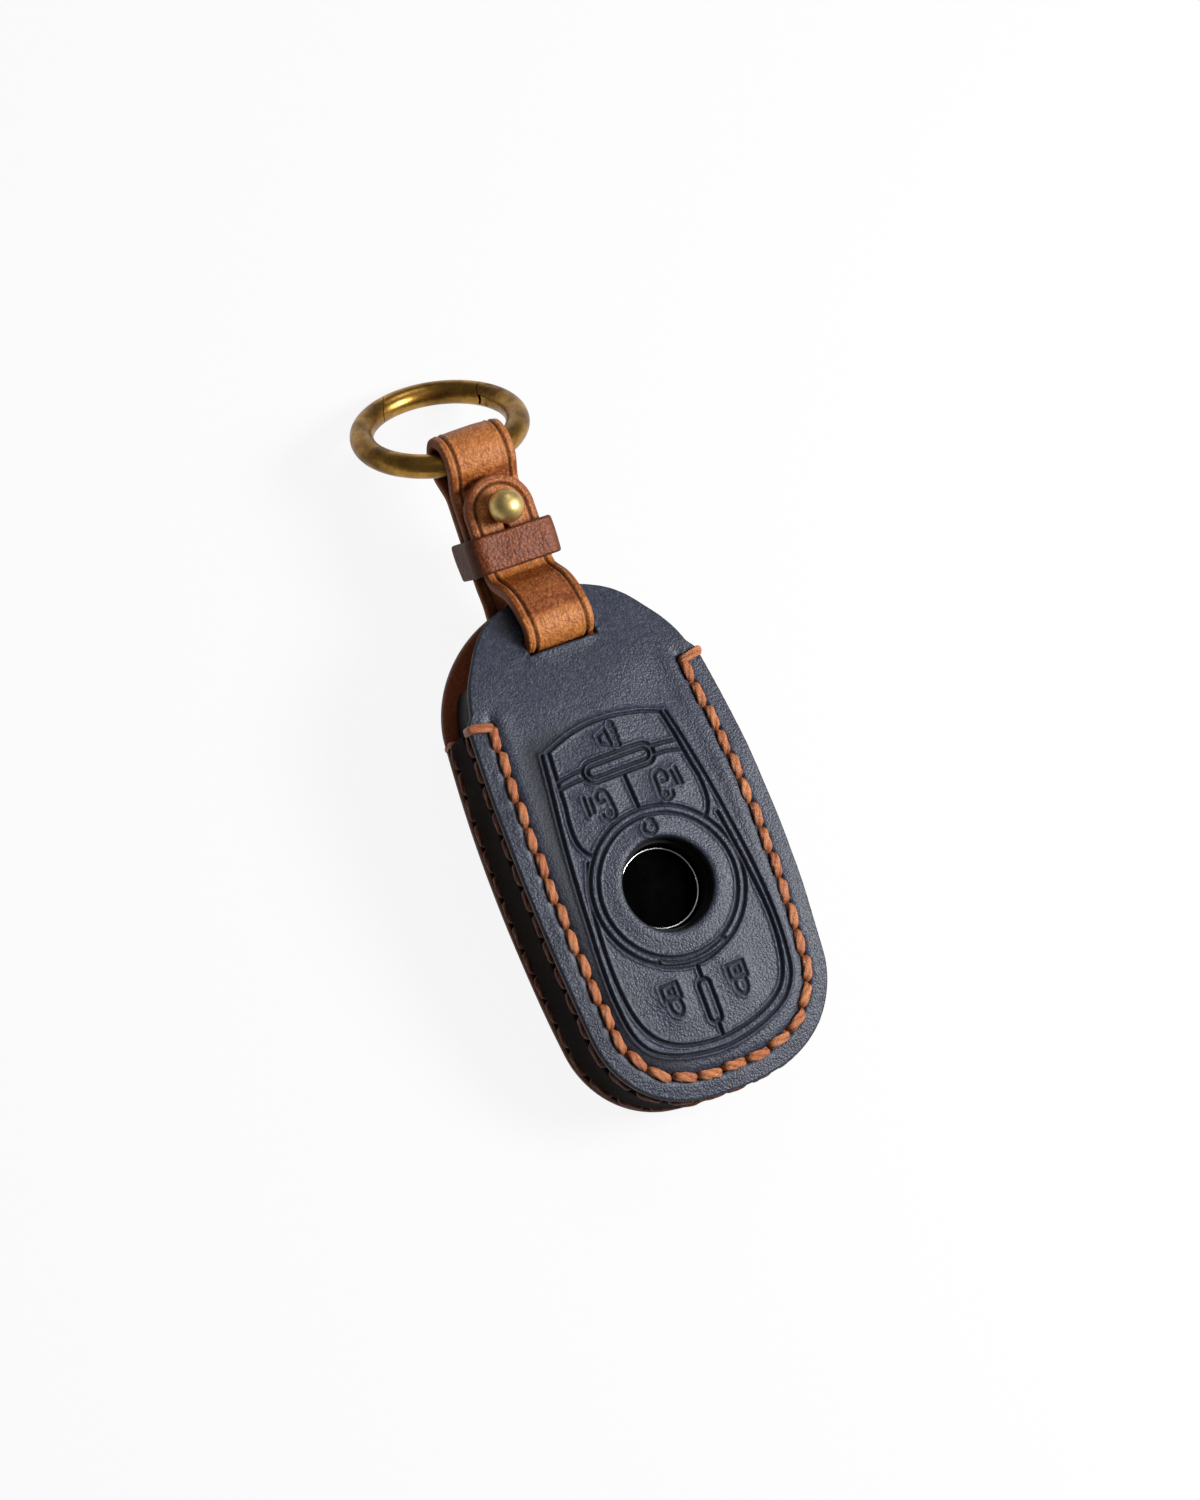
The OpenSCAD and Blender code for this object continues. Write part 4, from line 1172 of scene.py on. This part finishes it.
def add_lamp(name, direction, far, size, power):
    """Area lamp in a direction given by the camera's right, up and back."""
    way = sum((a * k for a, k in zip(camera_axes(), direction)), Vector()).normalized()
    data = bpy.data.lights.new(name, "AREA")
    data.shape = "DISK"
    data.size = size
    data.energy = power
    turn = way.to_track_quat("Z", "Y").to_matrix().to_4x4()
    new_object(name, data).matrix_world = Matrix.Translation(aim_point() + way * far) @ turn


def add_floor():
    """Pale floor that the camera sees nearly white, with the object's shadow on it."""
    m = Shader("floor")
    grain = m.span(m.noise(m.place(), 700), 0.3, 0.7)
    m.set(Base_Color=m.mix(grain, rgb(206, 206, 206), rgb(212, 212, 212)), Roughness=0.9)
    glow = m.add("ShaderNodeEmission", {"Color": (1, 1, 1, 1), "Strength": 1.0})
    camera, glossy, through = (m.add("ShaderNodeLightPath", {}, "Is %s Ray" % kind)
                               for kind in ("Camera", "Glossy", "Transmission"))
    seen = m.math("MULTIPLY", m.math("MAXIMUM", camera, m.math("MAXIMUM", glossy, through)), FLOOR_GLOW)
    blend = m.add("ShaderNodeMixShader", {0: seen, 1: m.bsdf.outputs[0], 2: glow})
    m.put(m.tree.nodes["Material Output"], {"Surface": blend})
    mesh = bpy.data.meshes.new("floor")
    corners = [(x * FLOOR_HALF, y * FLOOR_HALF, 0) for x, y in ((-1, -1), (1, -1), (1, 1), (-1, 1))]
    mesh.from_pydata(corners, [], [(0, 1, 2, 3)])
    mesh.materials.append(m.material)
    new_object("floor", mesh)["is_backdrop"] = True


def add_world():
    world = bpy.data.worlds.new("world")
    bpy.context.scene.world = world
    world.use_nodes = True
    sky = world.node_tree.nodes["Background"].inputs
    sky["Color"].default_value = (1, 1, 1, 1)
    sky["Strength"].default_value = 0.14


def finish_piece(piece, node, body="case"):
    """Puts a piece in the place of a node's solid, on the body that it rides on."""
    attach(piece, body)
    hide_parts(node)


def dress_leather():
    """Panels, wall, strap and keeper in place of their solids, and the emblem's ring."""
    blue = leather("panel_leather", dark=rgb(32, 36, 52), plain=rgb(43, 48, 65), pale=rgb(86, 91, 106),
                   press=rgb(9, 10, 14), edge=rgb(20, 21, 27), flesh=rgb(132, 62, 20),
                   rough=0.4, shine=0.42, grain=2500.0, deep=0.00012)
    # Painted shade: the wall's leather is coloured near black for the shade it lies in
    wall = leather("gusset_leather", dark=rgb(15, 8, 5), plain=rgb(21, 12, 7), pale=rgb(38, 24, 16),
                   press=rgb(6, 3, 2), edge=rgb(12, 8, 6), flesh=rgb(84, 42, 18),
                   rough=0.8, shine=0.03, grain=2500.0, deep=0.00009)
    tan = leather("strap_leather", dark=rgb(104, 45, 11), plain=rgb(144, 71, 20), pale=rgb(206, 132, 68),
                  press=rgb(44, 16, 4), edge=rgb(140, 76, 42), flesh=rgb(138, 76, 34),
                  rough=0.44, shine=0.34, grain=2000.0, deep=0.00017)
    red = leather("keeper_leather", dark=rgb(78, 31, 11), plain=rgb(104, 45, 18), pale=rgb(160, 94, 58),
                  press=rgb(40, 16, 6), edge=rgb(86, 40, 19), flesh=rgb(96, 48, 22),
                  rough=0.4, shine=0.26, grain=1700.0, deep=0.00018)
    low = (-CASE_W / 2 - GRID_MARGIN, -CASE_LOW - GRID_MARGIN)
    high = (CASE_W / 2 + GRID_MARGIN, CASE_TOP + GRID_MARGIN)
    front = leather_sheet("front_panel_leather", blue, low, high, FRONT_STEP, front_depth, LEATHER_T,
                          on_front, front_relief, front_shades)
    back = leather_sheet("back_panel_leather", blue, low, high, BACK_STEP, panel_depth, LEATHER_T, on_back,
                         back_relief, back_shades)
    finish_piece(front, "front_panel")
    finish_piece(back, "back_panel")
    finish_piece(side_gusset(wall), "side_gusset")
    finish_piece(strap(tan), "strap")
    finish_piece(keeper(red), "keeper", "keeper")
    chrome = bright_metal("bright_rim", rgb(225, 225, 225), 0.2, beaded=True)
    finish_piece(emblem_ring(chrome), "emblem_rim")


def dress_thread():
    """Rows of stitches: lit thread on the faces, a painted shade copy of it on the wall."""
    bright = thread_material("thread", low=rgb(190, 100, 52), high=rgb(214, 130, 74),
                             light=rgb(246, 190, 138), deep=rgb(52, 18, 7), shine=0.5)
    # Painted shade: the wall's thread is a darker copy of the face thread for the shade it lies in
    painted_shade_thread = thread_material("thread_painted_shade", low=rgb(92, 40, 16), high=rgb(118, 56, 24), light=rgb(150, 84, 44),
                          deep=rgb(20, 8, 4), shine=0.15)
    rows = (("front_face_stitches", face_spot(on_front), 0.45, -0.2, bright, True),
            ("back_face_stitches", face_spot(on_back), 0.45, -0.3, bright, False),
            ("front_side_stitches", side_spot(True), 0.35, -0.32, painted_shade_thread, None),
            ("back_side_stitches", side_spot(False), 0.35, -0.32, painted_shade_thread, None))
    for node, spot, slant, high, thread, wraps in rows:
        finish_piece(stitches(node + "_thread", spot, slant, high, thread, wraps), node)


def dress_solids():
    """Materials of the solids that stay."""
    ring = brass("aged_brass", rgb(180, 136, 64), rgb(98, 67, 27), 0.35)
    stud = brass("stud_brass", rgb(230, 204, 140), rgb(194, 166, 102), 0.46)
    steel = bright_metal("spring_steel", rgb(150, 150, 155), 0.25)
    finishes = ((ring, ("ring_body", "ring_gate", "gate_pin")), (stud, ("stud", "stud_screw")),
                (steel, ("gate_spring",)), (key_plastic(), ("key_shell_front", "key_shell_back")),
                (emblem_black(), ("key_emblem",)))
    for material, nodes in finishes:
        for node in nodes:
            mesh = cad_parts[node].data
            mesh.materials.clear()
            mesh.materials.append(material)


def write_sizes():
    def plain(box):
        return [[float(v) for v in corner] for corner in box]
    {"cad": plain(cad_box), "visual": plain(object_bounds())}


add_camera()
add_floor()
add_world()
add_lamp("key", (0.86, 0.2, 0.5), far=0.45, size=0.2, power=3.1)
add_lamp("fill", (0.2, 0.5, 1.0), far=0.9, size=0.5, power=0.4)
add_lamp("top", (0.25, 1.0, 0.45), far=0.8, size=0.3, power=0.85)
dress_leather()
dress_thread()
dress_solids()
bpy.context.scene.view_settings.view_transform = "Standard"
write_sizes()
